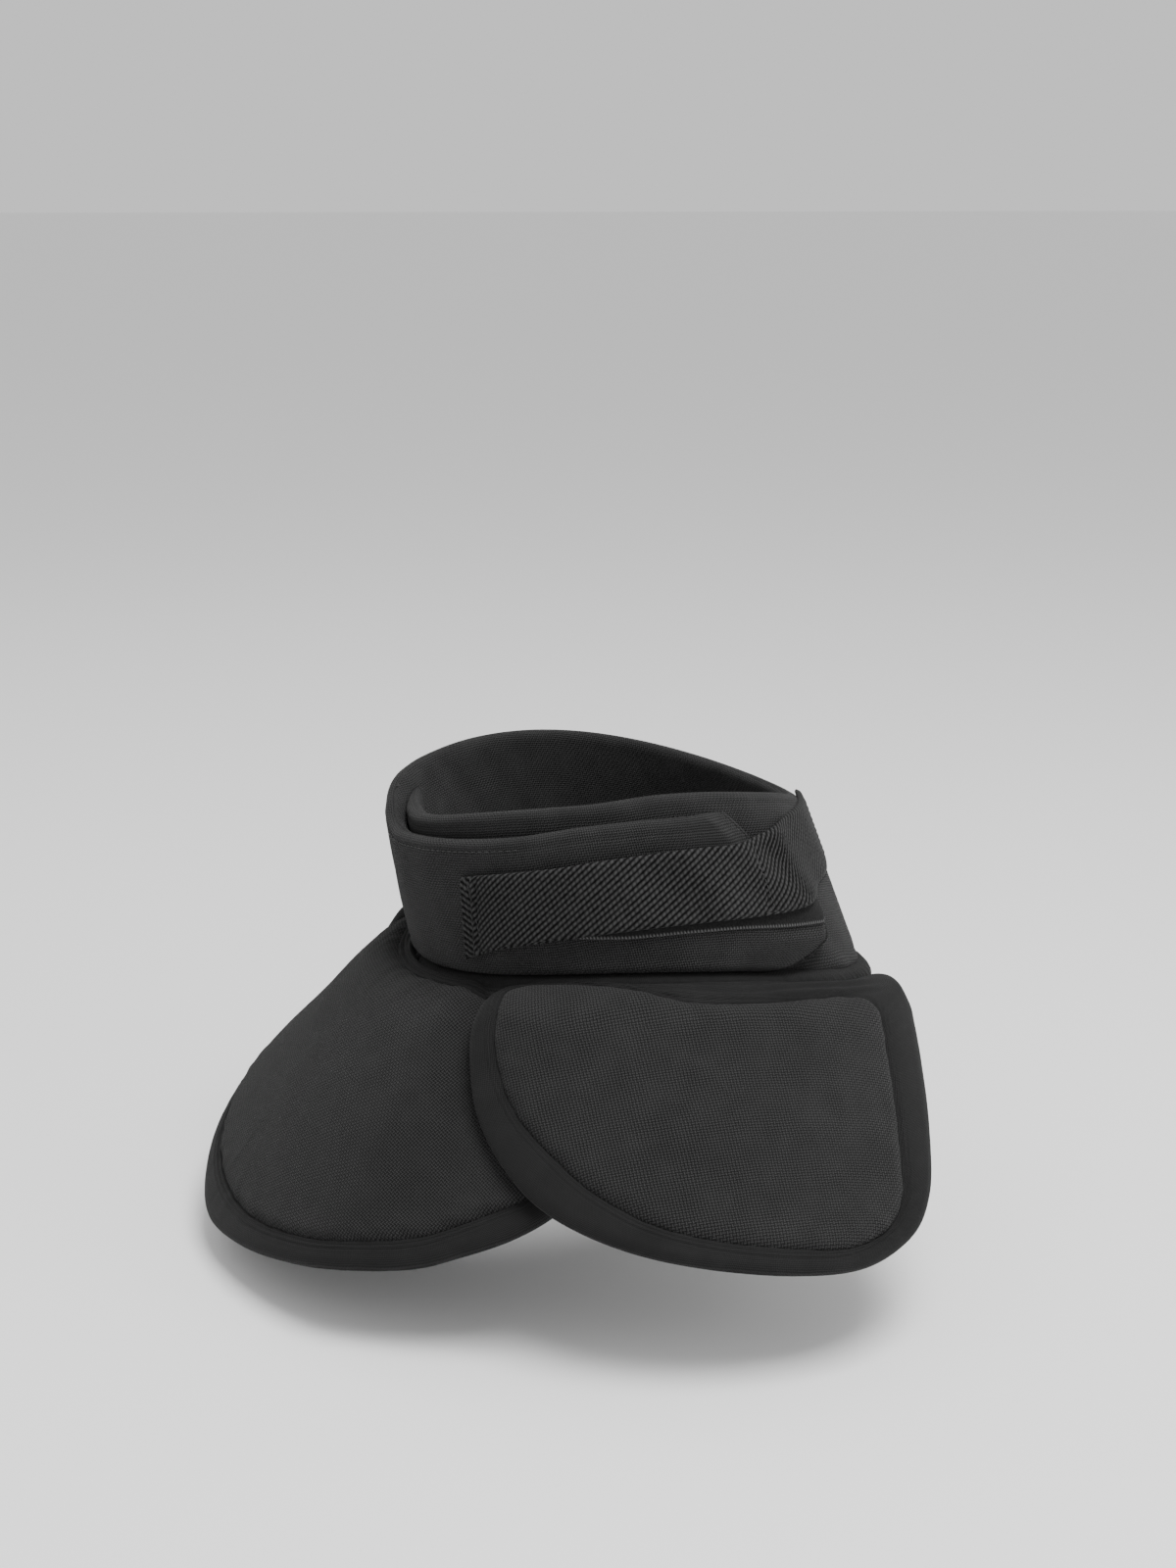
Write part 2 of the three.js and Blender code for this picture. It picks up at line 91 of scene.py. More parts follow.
# %% [markdown]
# Nearly every piece is a sheet of points: one parameter runs along it and one runs round its
# section. The whole sheet is worked out as one numpy array and turned into faces at once.
# The same helper closes the sheet into a ring where it comes back to its start, and closes
# open ends with a fan. Each corner keeps its own place on the cloth, in tenths of a metre, so
# that the weave can follow the surface and still meet itself at a seam.

# %% Sheets of points into meshes
CLOTH_UNIT = 0.1


def mesh_piece(name, points, quads, quad_cloth, tris, tri_cloth):
    """Object from points, faces with four and three corners, and each corner's cloth place.

    A closed surface encloses the sum of its faces' wedges with the origin. Where that sum is
    negative the faces point inwards, so every face is turned round.
    """
    wedges = np.concatenate([quads[:, [0, 1, 2]], quads[:, [0, 2, 3]], tris])
    first, second, third = points[wedges.T]
    if np.sum(first * np.cross(second, third)) < 0:
        quads, quad_cloth = quads[:, ::-1], quad_cloth[:, ::-1]
        tris, tri_cloth = tris[:, ::-1], tri_cloth[:, ::-1]
    corners = np.concatenate([quads.ravel(), tris.ravel()])
    starts = np.concatenate([4 * np.arange(len(quads)), quads.size + 3 * np.arange(len(tris))])
    mesh = bpy.data.meshes.new(name)
    mesh.vertices.add(len(points))
    mesh.vertices.foreach_set("co", points.ravel())
    mesh.loops.add(len(corners))
    mesh.loops.foreach_set("vertex_index", corners)
    mesh.polygons.add(len(starts))
    mesh.polygons.foreach_set("loop_start", starts)
    mesh.polygons.foreach_set("use_smooth", np.ones(len(starts), bool))
    mesh.update(calc_edges=True)
    places = np.concatenate([quad_cloth.reshape(-1, 2), tri_cloth.reshape(-1, 2)])
    mesh.uv_layers.new(name="cloth").data.foreach_set("uv", (places / CLOTH_UNIT).ravel())
    mesh.validate()
    piece = bpy.data.objects.new(name, mesh)
    bpy.context.scene.collection.objects.link(piece)
    print(name, len(points), "points", len(starts), "faces")
    return piece


def sheet_piece(name, points, cloth, along_joined=False, round_joined=True, fans=False):
    """Object from one sheet of points: each cell joins two neighbours along it with two round it.

    points is (along, round, 3). cloth is (along, round, 2), with one more row or column where
    the sheet is joined to its own start. fans closes both open ends on their middle.
    """
    along, around = points.shape[:2]
    i, j = np.meshgrid(np.arange(along - (not along_joined)),
                       np.arange(around - (not round_joined)), indexing="ij")
    i, j = i.ravel(), j.ravel()
    sides = [(0, 0), (0, 1), (1, 1), (1, 0)]
    quads = np.stack([(i + a) % along * around + (j + b) % around for a, b in sides], 1)
    quad_cloth = np.stack([cloth[i + a, j + b] for a, b in sides], 1)
    flat = points.reshape(-1, 3)
    tris, tri_cloth = np.zeros((0, 3), int), np.zeros((0, 3, 2))
    if fans:
        j = np.arange(around)
        for row, turned in ((0, 1), (along - 1, -1)):
            rim = np.stack([row * around + (j + 1) % around, row * around + j], 1)[:, ::turned]
            rim_cloth = np.stack([cloth[row, j + 1], cloth[row, j]], 1)[:, ::turned]
            middle = np.full((around, 1), len(flat))
            middle_cloth = np.broadcast_to(cloth[row].mean(0), (around, 1, 2))
            flat = np.vstack([flat, points[row].mean(0)])
            tris = np.vstack([tris, np.hstack([rim, middle])])
            tri_cloth = np.vstack([tri_cloth, np.concatenate([rim_cloth, middle_cloth], 1)])
    return mesh_piece(name, flat, quads, quad_cloth, tris, tri_cloth)


# %% [markdown]
# The forms follow the neck. Angles run from 0 at the throat over 90 at the wearer's left to
# 180 at the nape. A quantity that changes round the neck, such as the height of the seam, is
# given at four places and blended by cosines, which keeps it smooth all the way round.
# A quantity that changes along a route has a short table, and an eased curve joins its rows.

# %% Values round the neck and along a table
def ease(share):
    """Slow start and slow end: 3 s squared minus 2 s cubed."""
    share = np.clip(share, 0, 1)
    return share * share * (3 - 2 * share)


def round_neck(front, left, rear, right, angle):
    """Blend of four values round the neck with the cosine, the sine and the doubled cosine."""
    ends, sides = (front + rear) / 4, (left + right) / 4
    turn = np.radians(angle)
    swing = (front - rear) / 2 * np.cos(turn) + (left - right) / 2 * np.sin(turn)
    return ends + sides + (ends - sides) * np.cos(2 * turn) + swing


def table_value(rows, place):
    """Cubic curve through (place, value) rows, level with the chord of each row's neighbours."""
    places, values = np.array(rows, float).T
    last = len(places) - 1
    place = np.clip(place, places[0], places[-1])
    upper = np.clip(np.searchsorted(places, place), 1, last)
    rows_here = np.arange(last + 1)
    before, after = np.maximum(rows_here - 1, 0), np.minimum(rows_here + 1, last)
    slopes = (values[after] - values[before]) / (places[after] - places[before])
    length = places[upper] - places[upper - 1]
    s = (place - places[upper - 1]) / length
    leaving = values[upper - 1] * (1 + 2 * s) + slopes[upper - 1] * length * s
    arriving = values[upper] * (3 - 2 * s) + slopes[upper] * length * (s - 1)
    return leaving * (1 - s) ** 2 + arriving * s * s


def waves(place, seed, slowest, fastest, count=12):
    """Sum of sine waves with random phases: a smooth, uneven ripple about 1 high."""
    dice = np.random.default_rng(seed)
    total = 0 * place
    for turns in np.linspace(slowest, fastest, count):
        total = total + np.sin(turns * place + dice.uniform(0, 2 * np.pi)) * dice.uniform(0.4, 1)
    return total / np.sqrt(count / 2)


# %% [markdown]
# The neck ring is an ellipse that leans forward and narrows upwards. Everything on the collar
# is placed by an angle, a height and how far it stands out from that ring.

# %% Neck ring
HALF_DEPTH = 79.2
HALF_WIDTH = 75
BACKSET = 2.55
LEAN = 0.284
TAPER = 0.102
COLLAR_HEIGHT = 56
SEAT = dict(front=4, left=14.5, rear=-7, right=8.5)
SEAM = dict(front=0.5, left=9.5, rear=-11, right=5)


def ring_point(angle, height, out):
    """Point on the ellipse at that height, pushed outwards along both half axes."""
    turn = np.radians(angle)
    narrow = out - TAPER * height
    across = (HALF_WIDTH + narrow) * np.sin(turn)
    ahead = BACKSET - LEAN * height - (HALF_DEPTH + narrow) * np.cos(turn)
    return np.stack(np.broadcast_arrays(across, ahead, height), -1) * MM


# %% [markdown]
# The collar is one padded band in a flat spiral, so its outer end laps over its inner end.
# Its section is an upright bar with round rims. A bar like that could be bevelled, but here
# the section is a formula, which lets the faces swell between the hems and lets the free end
# be cut to a round outline by pulling every point back along the spiral.
# Hems, small dents and the folds above the near flap are added as depths. The free end is
# pulled flat by the strap, the hidden start is thinned, and the foot sinks into the welt.

# %% Collar band
BAND_THICKNESS = 7
LAP_GAP = 0.6
BAND_START, BAND_END = -30, 496
EVEN_TURN = 255
LAP_END_REACH = 45
SEAT_GAP = 0.4
BAND_TOP = [
    (-30, 0.93), (10, 0.94), (36, 0.96), (76, 0.97), (99, 1.04), (121, 1.095), (146, 1.13),
    (167, 1.11), (185, 1.1), (237, 1.06), (270, 1.04), (307, 1.02), (330, 1.01), (345, 0.94),
    (358, 0.85), (382, 0.838), (414, 0.832), (434, 0.876), (460, 0.932), (479, 0.952), (496, 0.98),
]
LAP_END = [
    (0, 26), (0.025, 21), (0.085, 14), (0.17, 7), (0.23, 3), (0.32, 2), (0.45, 5), (0.7, 12),
    (0.9, 18), (1, 22),
]
SUNK_IN_WELT = 2.2
END_FLATTENED = 14
END_THINNED = 0.6
START_TAPER = 30
START_THINNED = 0.65
LAP_BEGINS = 330
HEM = 3.2
HEM_EDGE = 0.4
HEM_DEPTH = 0.55
FOOT_SEAM = 0.3
FULLNESS = 0.5
BROAD_DENTS, CROSS_DENTS, FLANGE_FOLDS = 0.16, 0.10, 0.5
DENT_LENGTH = 57


def band_out(turn):
    """How far outside the ring the band's middle lies: it grows evenly with the turn."""
    return (BAND_THICKNESS + LAP_GAP) * (turn - EVEN_TURN) / 360 - BAND_THICKNESS / 2


def bar_section(height, thickness, points):
    """Round-rimmed upright bar from its top: up from the bottom and out from the middle.

    Steps are even along the outline: a half circle, a straight face, a half circle, a face.
    """
    radius = thickness / 2
    face = height - thickness
    whole = 2 * face + 2 * np.pi * radius
    length = np.linspace(0, 1, points, endpoint=False) * whole
    quarter = np.pi * radius / 2
    bends = [quarter, quarter + face, 3 * quarter + face, 3 * quarter + 2 * face]
    stretches = [length < bend for bend in bends]
    up = np.select(
        stretches,
        [height - radius + radius * np.cos(length / radius),
         height - radius - (length - bends[0]),
         radius - radius * np.sin((length - bends[1]) / radius),
         radius + length - bends[2]],
        height - radius + radius * np.sin((length - bends[3]) / radius))
    out = np.select(
        stretches,
        [radius * np.sin(length / radius), radius + 0 * length,
         radius * np.cos((length - bends[1]) / radius), -radius + 0 * length],
        -radius * np.cos((length - bends[3]) / radius))
    return up, out, length


def lap_flatness(turn, share):
    """One at the lap's upper end, where the strap pulls it flat, and nought elsewhere."""
    return ease((turn - BAND_END + END_FLATTENED) / END_FLATTENED) * ease((share - 0.45) / 0.3)


def groove(distance, width):
    """Depth of a sewn groove: a bell curve of the distance from it."""
    return np.exp(-(distance / width) ** 2)


BAND_COLUMNS = 640
BAND_POINTS = 96
edge_roll = np.degrees(BAND_THICKNESS / 2 / HALF_DEPTH)
turns = np.linspace(BAND_START, BAND_END, BAND_COLUMNS)
near = edge_roll * (1 - np.cos(np.linspace(0, np.pi / 2, 9)[:-1]))
turns = np.concatenate([BAND_START + near, turns[2:-2], (BAND_END - near)[::-1]])[:, None]
height = COLLAR_HEIGHT * table_value(BAND_TOP, turns)
up, out, length = bar_section(height, BAND_THICKNESS, BAND_POINTS)
to_end = np.minimum(np.minimum(turns - BAND_START, BAND_END - turns) / edge_roll, 1)
roll = np.sqrt(1 - (1 - to_end) ** 2)
near_end = ease((turns - BAND_END + LAP_END_REACH) / LAP_END_REACH)
place = turns - near_end * table_value(LAP_END, up / height)
sunk_in = SUNK_IN_WELT * (1 - ease((turns - LAP_BEGINS) / 15))
seat = round_neck(**SEAT, angle=place) + SEAT_GAP - sunk_in * (1 - ease(up / 8))
face = np.sign(out) * (np.abs(out) / (BAND_THICKNESS / 2)) ** 2
outer = np.clip(face, 0, 1)
from_end = (BAND_END - turns) * np.radians(1) * HALF_DEPTH
sunk = HEM_DEPTH * groove(height - up - HEM - HEM_EDGE, 0.6) * outer
sunk = sunk + 1.5 * HEM_DEPTH * groove(from_end - HEM, 0.9) * outer
sunk = sunk + FOOT_SEAM * groove(up - 5, 1.2) * np.abs(face)
full = FULLNESS * np.sin(np.pi * np.clip(up / height, 0, 1)) * face * to_end
dents = BROAD_DENTS * waves(place / DENT_LENGTH * 8 + up / 40, 3, 0.6, 3) * face
dents = dents + CROSS_DENTS * waves(place / DENT_LENGTH * 14 - up / 9, 5, 0.6, 3) * face
flange = ease((place - 95) / 30) * (1 - ease((place - 170) / 30)) * (1 - ease(up / 16))
dents = dents + FLANGE_FOLDS * flange * waves(place / 4 + up / 5, 8, 0.6, 1.6, 5) * outer
depth = out * roll + full + dents * to_end - sunk
depth = depth - END_THINNED * lap_flatness(turns, up / height) * (depth + BAND_THICKNESS / 2)
start_thin = START_THINNED * (1 - ease((turns - BAND_START) / START_TAPER))
depth = depth + start_thin * (BAND_THICKNESS / 2 - depth)
band = ring_point(place, seat + up, band_out(place) + depth)
band_cloth = np.stack([HALF_DEPTH * np.radians(turns) + 0 * length, length], -1) * MM
closing = band_cloth[:, :1] + [0, MM * 2 * (COLLAR_HEIGHT + 2)]
band_cloth = np.concatenate([band_cloth, closing], 1)
collar_band = sheet_piece("collar_band_cloth", band, band_cloth, fans=True)
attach(collar_band, "root")
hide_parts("collar_band")

# %% [markdown]
# The strap is elastic webbing: two flat faces joined by thin selvedges, with slanting twill
# ribs standing up from the outer face. At this size the ribs catch the light one by one, so
# they are real relief here and not only a pattern. Each yarn in a rib is plump or thin by
# chance. The strap runs over the loop patch, steps down off the end of the lap and goes on
# round the back, where its inner side is drawn in and its ribs are worn lower. Its tip is
# folded under, so the first stretch is twice as thick.

# %% Closure strap
STRAP_THICKNESS = 2
STRAP_START, STRAP_END = 36, 172
STRAP_STEP_DOWN = 26
PATCH_THICKNESS = 1.2
PATCH_START, PATCH_END = 47, 132
PATCH_LAP = 12
FABRIC_GAP = 0.4
TWILL_PITCH = 1.75
TWILL_LEAN = np.radians(38)
TWILL_HEIGHT = 0.42
YARN_PITCH = 1.5
YARN_LEAN = np.radians(12)
TIP_SKEW = 0.2
CROSS_STITCH = 114.3
DRAWN_IN = 0.9
PRESSED_IN = 0.8
WORN = 0.5
BEHIND_LAP = 124
FOLD_LENGTH = 7
FOLD_EDGE = 1.2
TIP_ROUNDING = 1.1
RIPPLE = 0.18
STRAP_ROUTE = [
    (36, 0.532), (44, 0.602), (50, 0.641), (62, 0.704), (74, 0.759), (86, 0.792), (98, 0.803),
    (110, 0.792), (122, 0.787), (135, 0.788), (172, 0.79),
]
STRAP_TALL = [
    (36, 29.6), (44, 27.2), (50, 26), (62, 24.7), (74, 24.4), (98, 24.5), (110, 24.4), (122, 25.6),
    (135, 26.2), (172, 25),
]
PATCH_ROUTE = [
    (47, 0.45), (62, 0.488), (77, 0.497), (91, 0.513), (105, 0.5), (118, 0.455), (132, 0.404),
]


def band_face(angle, height):
    """Outside of the outermost layer: the lap up to its end, then the layer under it.

    The lap's end slants, so the higher a point is, the sooner it leaves the lap.
    """
    share = (height - round_neck(**SEAT, angle=angle)) / COLLAR_HEIGHT
    turn = angle + 360 + table_value(LAP_END, share)
    past = ease((turn - BAND_END + 4) / STRAP_STEP_DOWN)
    thinned = END_THINNED * BAND_THICKNESS * lap_flatness(turn, share) * (1 - past)
    return band_out(angle + 360 * (1 - past)) + BAND_THICKNESS / 2 - thinned


def strap_inside(angle, height):
    """Inner face of the strap: it climbs on to the patch and steps down behind it."""
    on_patch = ease((angle - STRAP_START) / (PATCH_START - STRAP_START))
    on_patch = on_patch * (1 - ease((angle - PATCH_END + 12) / STRAP_STEP_DOWN))
    return band_face(angle, height) + FABRIC_GAP + on_patch * (PATCH_THICKNESS + FABRIC_GAP)


def arc_length(angle):
    """Length along the collar from the front, on a circle of its mean half depth and width."""
    return np.radians(angle) * (HALF_DEPTH + HALF_WIDTH) / 2


STRAP_COLUMNS = 560
STRAP_FACE_ROWS = 84
strap_angles = np.linspace(STRAP_START, STRAP_END, STRAP_COLUMNS)
along = arc_length(strap_angles)
across = np.linspace(-1, 1, STRAP_FACE_ROWS)
rim = np.sin(np.linspace(-np.pi / 2, np.pi / 2, 8))[1:-1]
side = np.concatenate([across, np.ones(6), across[::-1], -np.ones(6)])
lift = np.concatenate([np.ones(STRAP_FACE_ROWS), -rim, -np.ones(STRAP_FACE_ROWS), rim])
bulge = np.concatenate([0 * across, np.sqrt(1 - rim ** 2), 0 * across, -np.sqrt(1 - rim ** 2)])
strap_angles = strap_angles[:, None]
run = arc_length(strap_angles) - along[0]
half = (table_value(STRAP_TALL, strap_angles) - STRAP_THICKNESS) / 2
sides = side * half + bulge * STRAP_THICKNESS / 2
tip = np.sqrt(np.clip(1 - (1 - np.clip(run / TIP_ROUNDING, 0, 1)) ** 2, 0.02, 1))
tail = np.clip((along[-1] - along[0] - run) / TIP_ROUNDING, 0.15, 1)
fold = 1 - ease((run - FOLD_LENGTH + FOLD_EDGE) / 1.6)
tip_side = np.where(run < FOLD_LENGTH - 1, -1, 1)
rib_place = run * np.sin(TWILL_LEAN) - tip_side * sides * np.cos(TWILL_LEAN)
rib_place = rib_place + 0.16 * waves(run / 7 + sides / 11, 13, 0.5, 2.2, 6)
rib = 0.5 + 0.5 * np.cos(2 * np.pi * rib_place / TWILL_PITCH)
rib_number = np.floor(rib_place / TWILL_PITCH + 0.5)
yarn = run * np.cos(YARN_LEAN) + sides * np.sin(YARN_LEAN)
yarn = yarn + YARN_PITCH / 2 * (rib_number % 2)
plump = np.random.default_rng(17).uniform(0.65, 1.15, (400, 400))
plump = plump[rib_number.astype(int), np.floor(yarn / YARN_PITCH).astype(int)]
rib = rib ** 0.8 * (0.4 + 0.6 * np.abs(np.sin(np.pi * yarn / YARN_PITCH))) * plump
edge_fade = ease((1 - np.abs(side)) / 0.10)
worn = 1 - WORN * ease((strap_angles - BEHIND_LAP) / 12)
relief = TWILL_HEIGHT * rib * edge_fade * worn
for depth, at, width in (
    (0.55, FOLD_LENGTH - FOLD_EDGE, 0.5), (-0.4, FOLD_LENGTH - 2.3, 0.45),
    (-0.5, FOLD_LENGTH + 0.3, 0.5), (0.3, 0.9, 0.5),
    (-0.4, arc_length(CROSS_STITCH) - along[0], 0.5),
):
    relief = relief + depth * groove(run - at, width)
relief = (relief + RIPPLE * waves(run / 12 + sides / 30, 11, 0.5, 2.4, 6)) * (lift > 0.9)
height = COLLAR_HEIGHT * table_value(STRAP_ROUTE, strap_angles) + sides
out = strap_inside(strap_angles, height) + STRAP_THICKNESS / 2
out = out + lift * STRAP_THICKNESS / 2 * tip * tail + relief
out = out - PRESSED_IN * ease((strap_angles - BEHIND_LAP) / 10) * (lift + 1) / 2
out = out - DRAWN_IN * ease((strap_angles - 130) / 12) * (1 - lift) / 2
out = out + 0.5 * fold * (lift > 0) * tip
skewed = strap_angles + np.degrees(TIP_SKEW * sides / arc_length(180) * np.pi)
strap_points = ring_point(skewed, height, out)
steps_round = np.hypot(np.diff(sides, axis=1), np.diff(lift) * STRAP_THICKNESS / 2)
girth = np.cumsum(np.concatenate([-half, steps_round], 1), axis=1)
strap_cloth = np.stack([run + 0 * girth, girth], -1)
strap_cloth = np.concatenate([strap_cloth, strap_cloth[:, -1:] + [0, 0.3]], 1) * MM
strap = sheet_piece("strap_webbing", strap_points, strap_cloth, fans=True)
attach(strap, "root")
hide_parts("closure_strap")

# %% [markdown]
# The loop patch is a thin strip sewn to the lap. Only its lower edge shows, and there the
# woven selvedge makes a row of fine teeth. The teeth are a small triangle wave added to the
# lower edge, deep enough to show against the dark cloth behind.

# %% Loop patch
TOOTH_PITCH = 1.1
TOOTH_DEPTH = 0.45
END_ROUNDING = 2.5
PATCH_FULLNESS = 0.98
SELVEDGE_THINNED = 7 / 15
PATCH_COLUMNS = 800
patch_angles = np.linspace(PATCH_START, PATCH_END, PATCH_COLUMNS)[:, None]
share = np.array([0, 0.02, 0.05, 0.1, 0.2, 0.4, 0.7, 1, 1, 0.7, 0.4, 0.2, 0.1, 0.05, 0.02, 0])
skin_side = np.array([0.4, 0.8, 1, 1, 1, 1, 1, 1, -1, -1, -1, -1, -1, -1, -0.8, -0.4])
run = arc_length(patch_angles)
bottom = COLLAR_HEIGHT * table_value(PATCH_ROUTE, patch_angles)
middle = COLLAR_HEIGHT * table_value(STRAP_ROUTE, patch_angles)
tall = np.maximum(middle - bottom, 0) + PATCH_LAP / 2
teeth = np.abs((run / TOOTH_PITCH) % 1 - 0.5) * 2
to_end = np.clip((run.max() - run) / END_ROUNDING, 0, 1)
corner = END_ROUNDING * (1 - np.sqrt(1 - (1 - to_end) ** 2))
height = bottom + share * tall + (1 - share) * (TOOTH_DEPTH * teeth + corner)
thinned = SELVEDGE_THINNED * (1 - ease(share * tall / 2.2))
out = band_face(patch_angles, height) + FABRIC_GAP + PATCH_THICKNESS / 2
out = out + skin_side * PATCH_FULLNESS * PATCH_THICKNESS / 2 * (1 - thinned)
patch_cloth = np.stack([run + 0 * out, share * tall + 20 * (skin_side < 0)], -1) * MM
patch_cloth = np.concatenate([patch_cloth, patch_cloth[:, :1]], 1)
patch_points = ring_point(patch_angles, height, out)
patch = sheet_piece("loop_tape_strip", patch_points, patch_cloth, fans=True)
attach(patch, "root")
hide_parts("loop_patch")

# %% [markdown]
# The welt is the filled seam on which the collar and the skirts are sewn. It is a thick ring
# whose cloth is drawn in by the stitches, so small gathers run across it. A torus with noise
# would look random. Waves whose height fades towards the top look like pulled thread.
# It bulges out under the lap, and below it hides the roots of the skirts, fullest at the
# corners where the bib meets the flaps.

# %% Base welt
WELT_WIDTH = 13
WELT_INSET = 5.5
WELT_DROP = 5.5
WELT_BULGE = 3
LEAST_BULGE = 0.8
CORNER_BULGE = 1.3
GATHERS = 0.22
SQUARENESS = 0.6
WELT_COLUMNS = 540
WELT_POINTS = 44
welt_angles = np.linspace(0, 360, WELT_COLUMNS, endpoint=False)[:, None]
bottom = round_neck(**SEAM, angle=welt_angles) - WELT_DROP
tall = round_neck(**SEAT, angle=welt_angles) - bottom
turn = 2 * np.pi * np.arange(WELT_POINTS) / WELT_POINTS
lean_in = np.sign(np.sin(turn)) * np.abs(np.sin(turn)) ** SQUARENESS
rise = np.sign(np.cos(turn)) * np.abs(np.cos(turn)) ** SQUARENESS
gather = GATHERS * waves(np.radians(welt_angles) * 60, 21, 1, 4) * (1 - 0.5 * rise)
out = lean_in * (WELT_WIDTH / 2 - 0.4 + gather * (lean_in > 0)) - WELT_INSET
under_lap = ease((welt_angles + 5) / 20) * (1 - ease((welt_angles - 125) / 20))
under_lap = under_lap + ease((welt_angles - 355) / 5)
from_front = np.abs((welt_angles + 180) % 360 - 180)
lower = ease(0.6 - rise / 0.5) * (1 + CORNER_BULGE * groove(from_front - 41, 7))
lower = lower * (1 - ease((from_front - 140) / 15))
upper = (LEAST_BULGE + (WELT_BULGE - LEAST_BULGE) * under_lap) * ease(rise / 0.5 + 0.4)
out = out + (upper + WELT_BULGE * lower) * (lean_in > 0)
welt = ring_point(welt_angles, bottom + tall * (0.5 + 0.5 * rise) - 0.1, out)
welt_cloth = np.stack([arc_length(welt_angles) + 0 * out, turn * 6 + 0 * out], -1) * MM
welt_cloth = np.concatenate([welt_cloth, welt_cloth[:, :1] + [0, 12 * np.pi * MM]], 1)
welt_cloth = np.concatenate([welt_cloth, welt_cloth[:1] + [arc_length(360) * MM, 0]], 0)
base_welt = sheet_piece("base_welt_roll", welt, welt_cloth, along_joined=True)
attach(base_welt, "root")
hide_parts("base_welt")

# %% [markdown]
# The bib and the flaps share one idea. Each is a surface that leaves the neck almost level,
# bends over the shoulder and then falls straight, and the cloth fans out as it falls.
# A point on it is given by an angle round the neck and a length down from the seam.
# The bend is a circular arc, so its reach and drop are the integrals of the cosine and the
# sine of the dip, which have a short exact form.

# %% Skirt surfaces
SEAM_OUTSET = 1.5
FLAP_LIFT_LENGTH = 20
BIB = dict(
    hand=1, middle=0, fan=1, curl=0, start=12, bend=20, span=72, first=0, length=117.5,
    slope=dict(front=52, left=46, rear=54, right=37), lift=0, tuck=9, tuck_out=2.5,
)
LEFT_FLAP = dict(
    hand=1, middle=95, fan=0.65, curl=0.17, start=5, bend=20, span=123, first=41, length=103,
    slope=dict(front=54, left=50, rear=60, right=42), lift=4, tuck=0, tuck_out=0,
)
RIGHT_FLAP = {**LEFT_FLAP, "hand": -1}
TUCK_FROM, TUCK_TO = 32, 48


def skirt_middle(skirt, angle, down):
    """Middle surface: the seam's point, moved out and down by the integrals of the dip."""
    from_middle = np.radians(angle - skirt["middle"])
    heading = np.radians(skirt["middle"]) + skirt["fan"] * from_middle
    heading = heading - skirt["curl"] * from_middle ** 2
    start = np.radians(skirt["start"])
    around = angle * skirt["hand"]
    slope = np.radians(round_neck(**skirt["slope"], angle=around))
    bend = skirt["bend"]
    bent, past = np.minimum(down, bend), np.maximum(down - bend, 0)
    dip = start + (slope - start) * bent / bend
    out = past * np.cos(slope) + bend / (slope - start) * (np.sin(dip) - np.sin(start))
    drop = past * np.sin(slope) + bend / (slope - start) * (np.cos(start) - np.cos(dip))
    tucked = ease((np.abs(angle) - TUCK_FROM) / (TUCK_TO - TUCK_FROM))
    outset = SEAM_OUTSET + skirt["tuck_out"] * tucked
    seam = ring_point(around, round_neck(**SEAM, angle=around), outset)
    fall = np.stack([out * np.sin(heading) * skirt["hand"], -out * np.cos(heading), -drop], -1)
    return seam + fall * MM


def skirt_point(skirt, angle, down, lift):
    """Point lifted off the middle surface along its normal."""
    nudge = 0.05
    across = skirt_middle(skirt, angle + nudge, down) - skirt_middle(skirt, angle - nudge, down)
    fall = skirt_middle(skirt, angle, down + nudge) - skirt_middle(skirt, angle, down - nudge)
    normal = np.cross(fall, across) * skirt["hand"]
    normal = normal / np.linalg.norm(normal, axis=-1, keepdims=True)
    tucked = ease((np.abs(angle) - TUCK_FROM) / (TUCK_TO - TUCK_FROM))
    total = lift + skirt["lift"] * ease(down / FLAP_LIFT_LENGTH) - skirt["tuck"] * tucked
    return skirt_middle(skirt, angle, down) + normal * (total * MM)[..., None]


# %% [markdown]
# Each skirt has two outlines: its outer edge and the edge of the padded panel. They are
# short tables, and a closed curve runs through their rows. The centripetal kind of curve is
# used, because it never overshoots where a long side meets a tight corner.

# %% Skirt outlines
BIB_HALF = [
    (0, 0.997, 0, 0.889), (0.167, 0.969, 0.167, 0.885), (0.333, 0.934, 0.313, 0.864),
    (0.472, 0.902, 0.447, 0.838), (0.586, 0.848, 0.563, 0.787), (0.694, 0.787, 0.665, 0.724),
    (0.801, 0.723, 0.75, 0.666), (0.882, 0.649, 0.833, 0.609), (0.958, 0.528, 0.896, 0.494),
    (1, 0.366, 0.917, 0.357), (0.972, 0.187, 0.889, 0.213), (0.861, 0.047, 0.792, 0.11),
    (0.694, 0.004, 0.64, 0.051), (0.444, 0, 0.43, 0.037), (0.208, 0, 0.2, 0.037),
    (0, 0, 0, 0.037),
]
BIB_ROWS = BIB_HALF + [(-row[0], row[1], -row[2], row[3]) for row in BIB_HALF[-2:0:-1]]
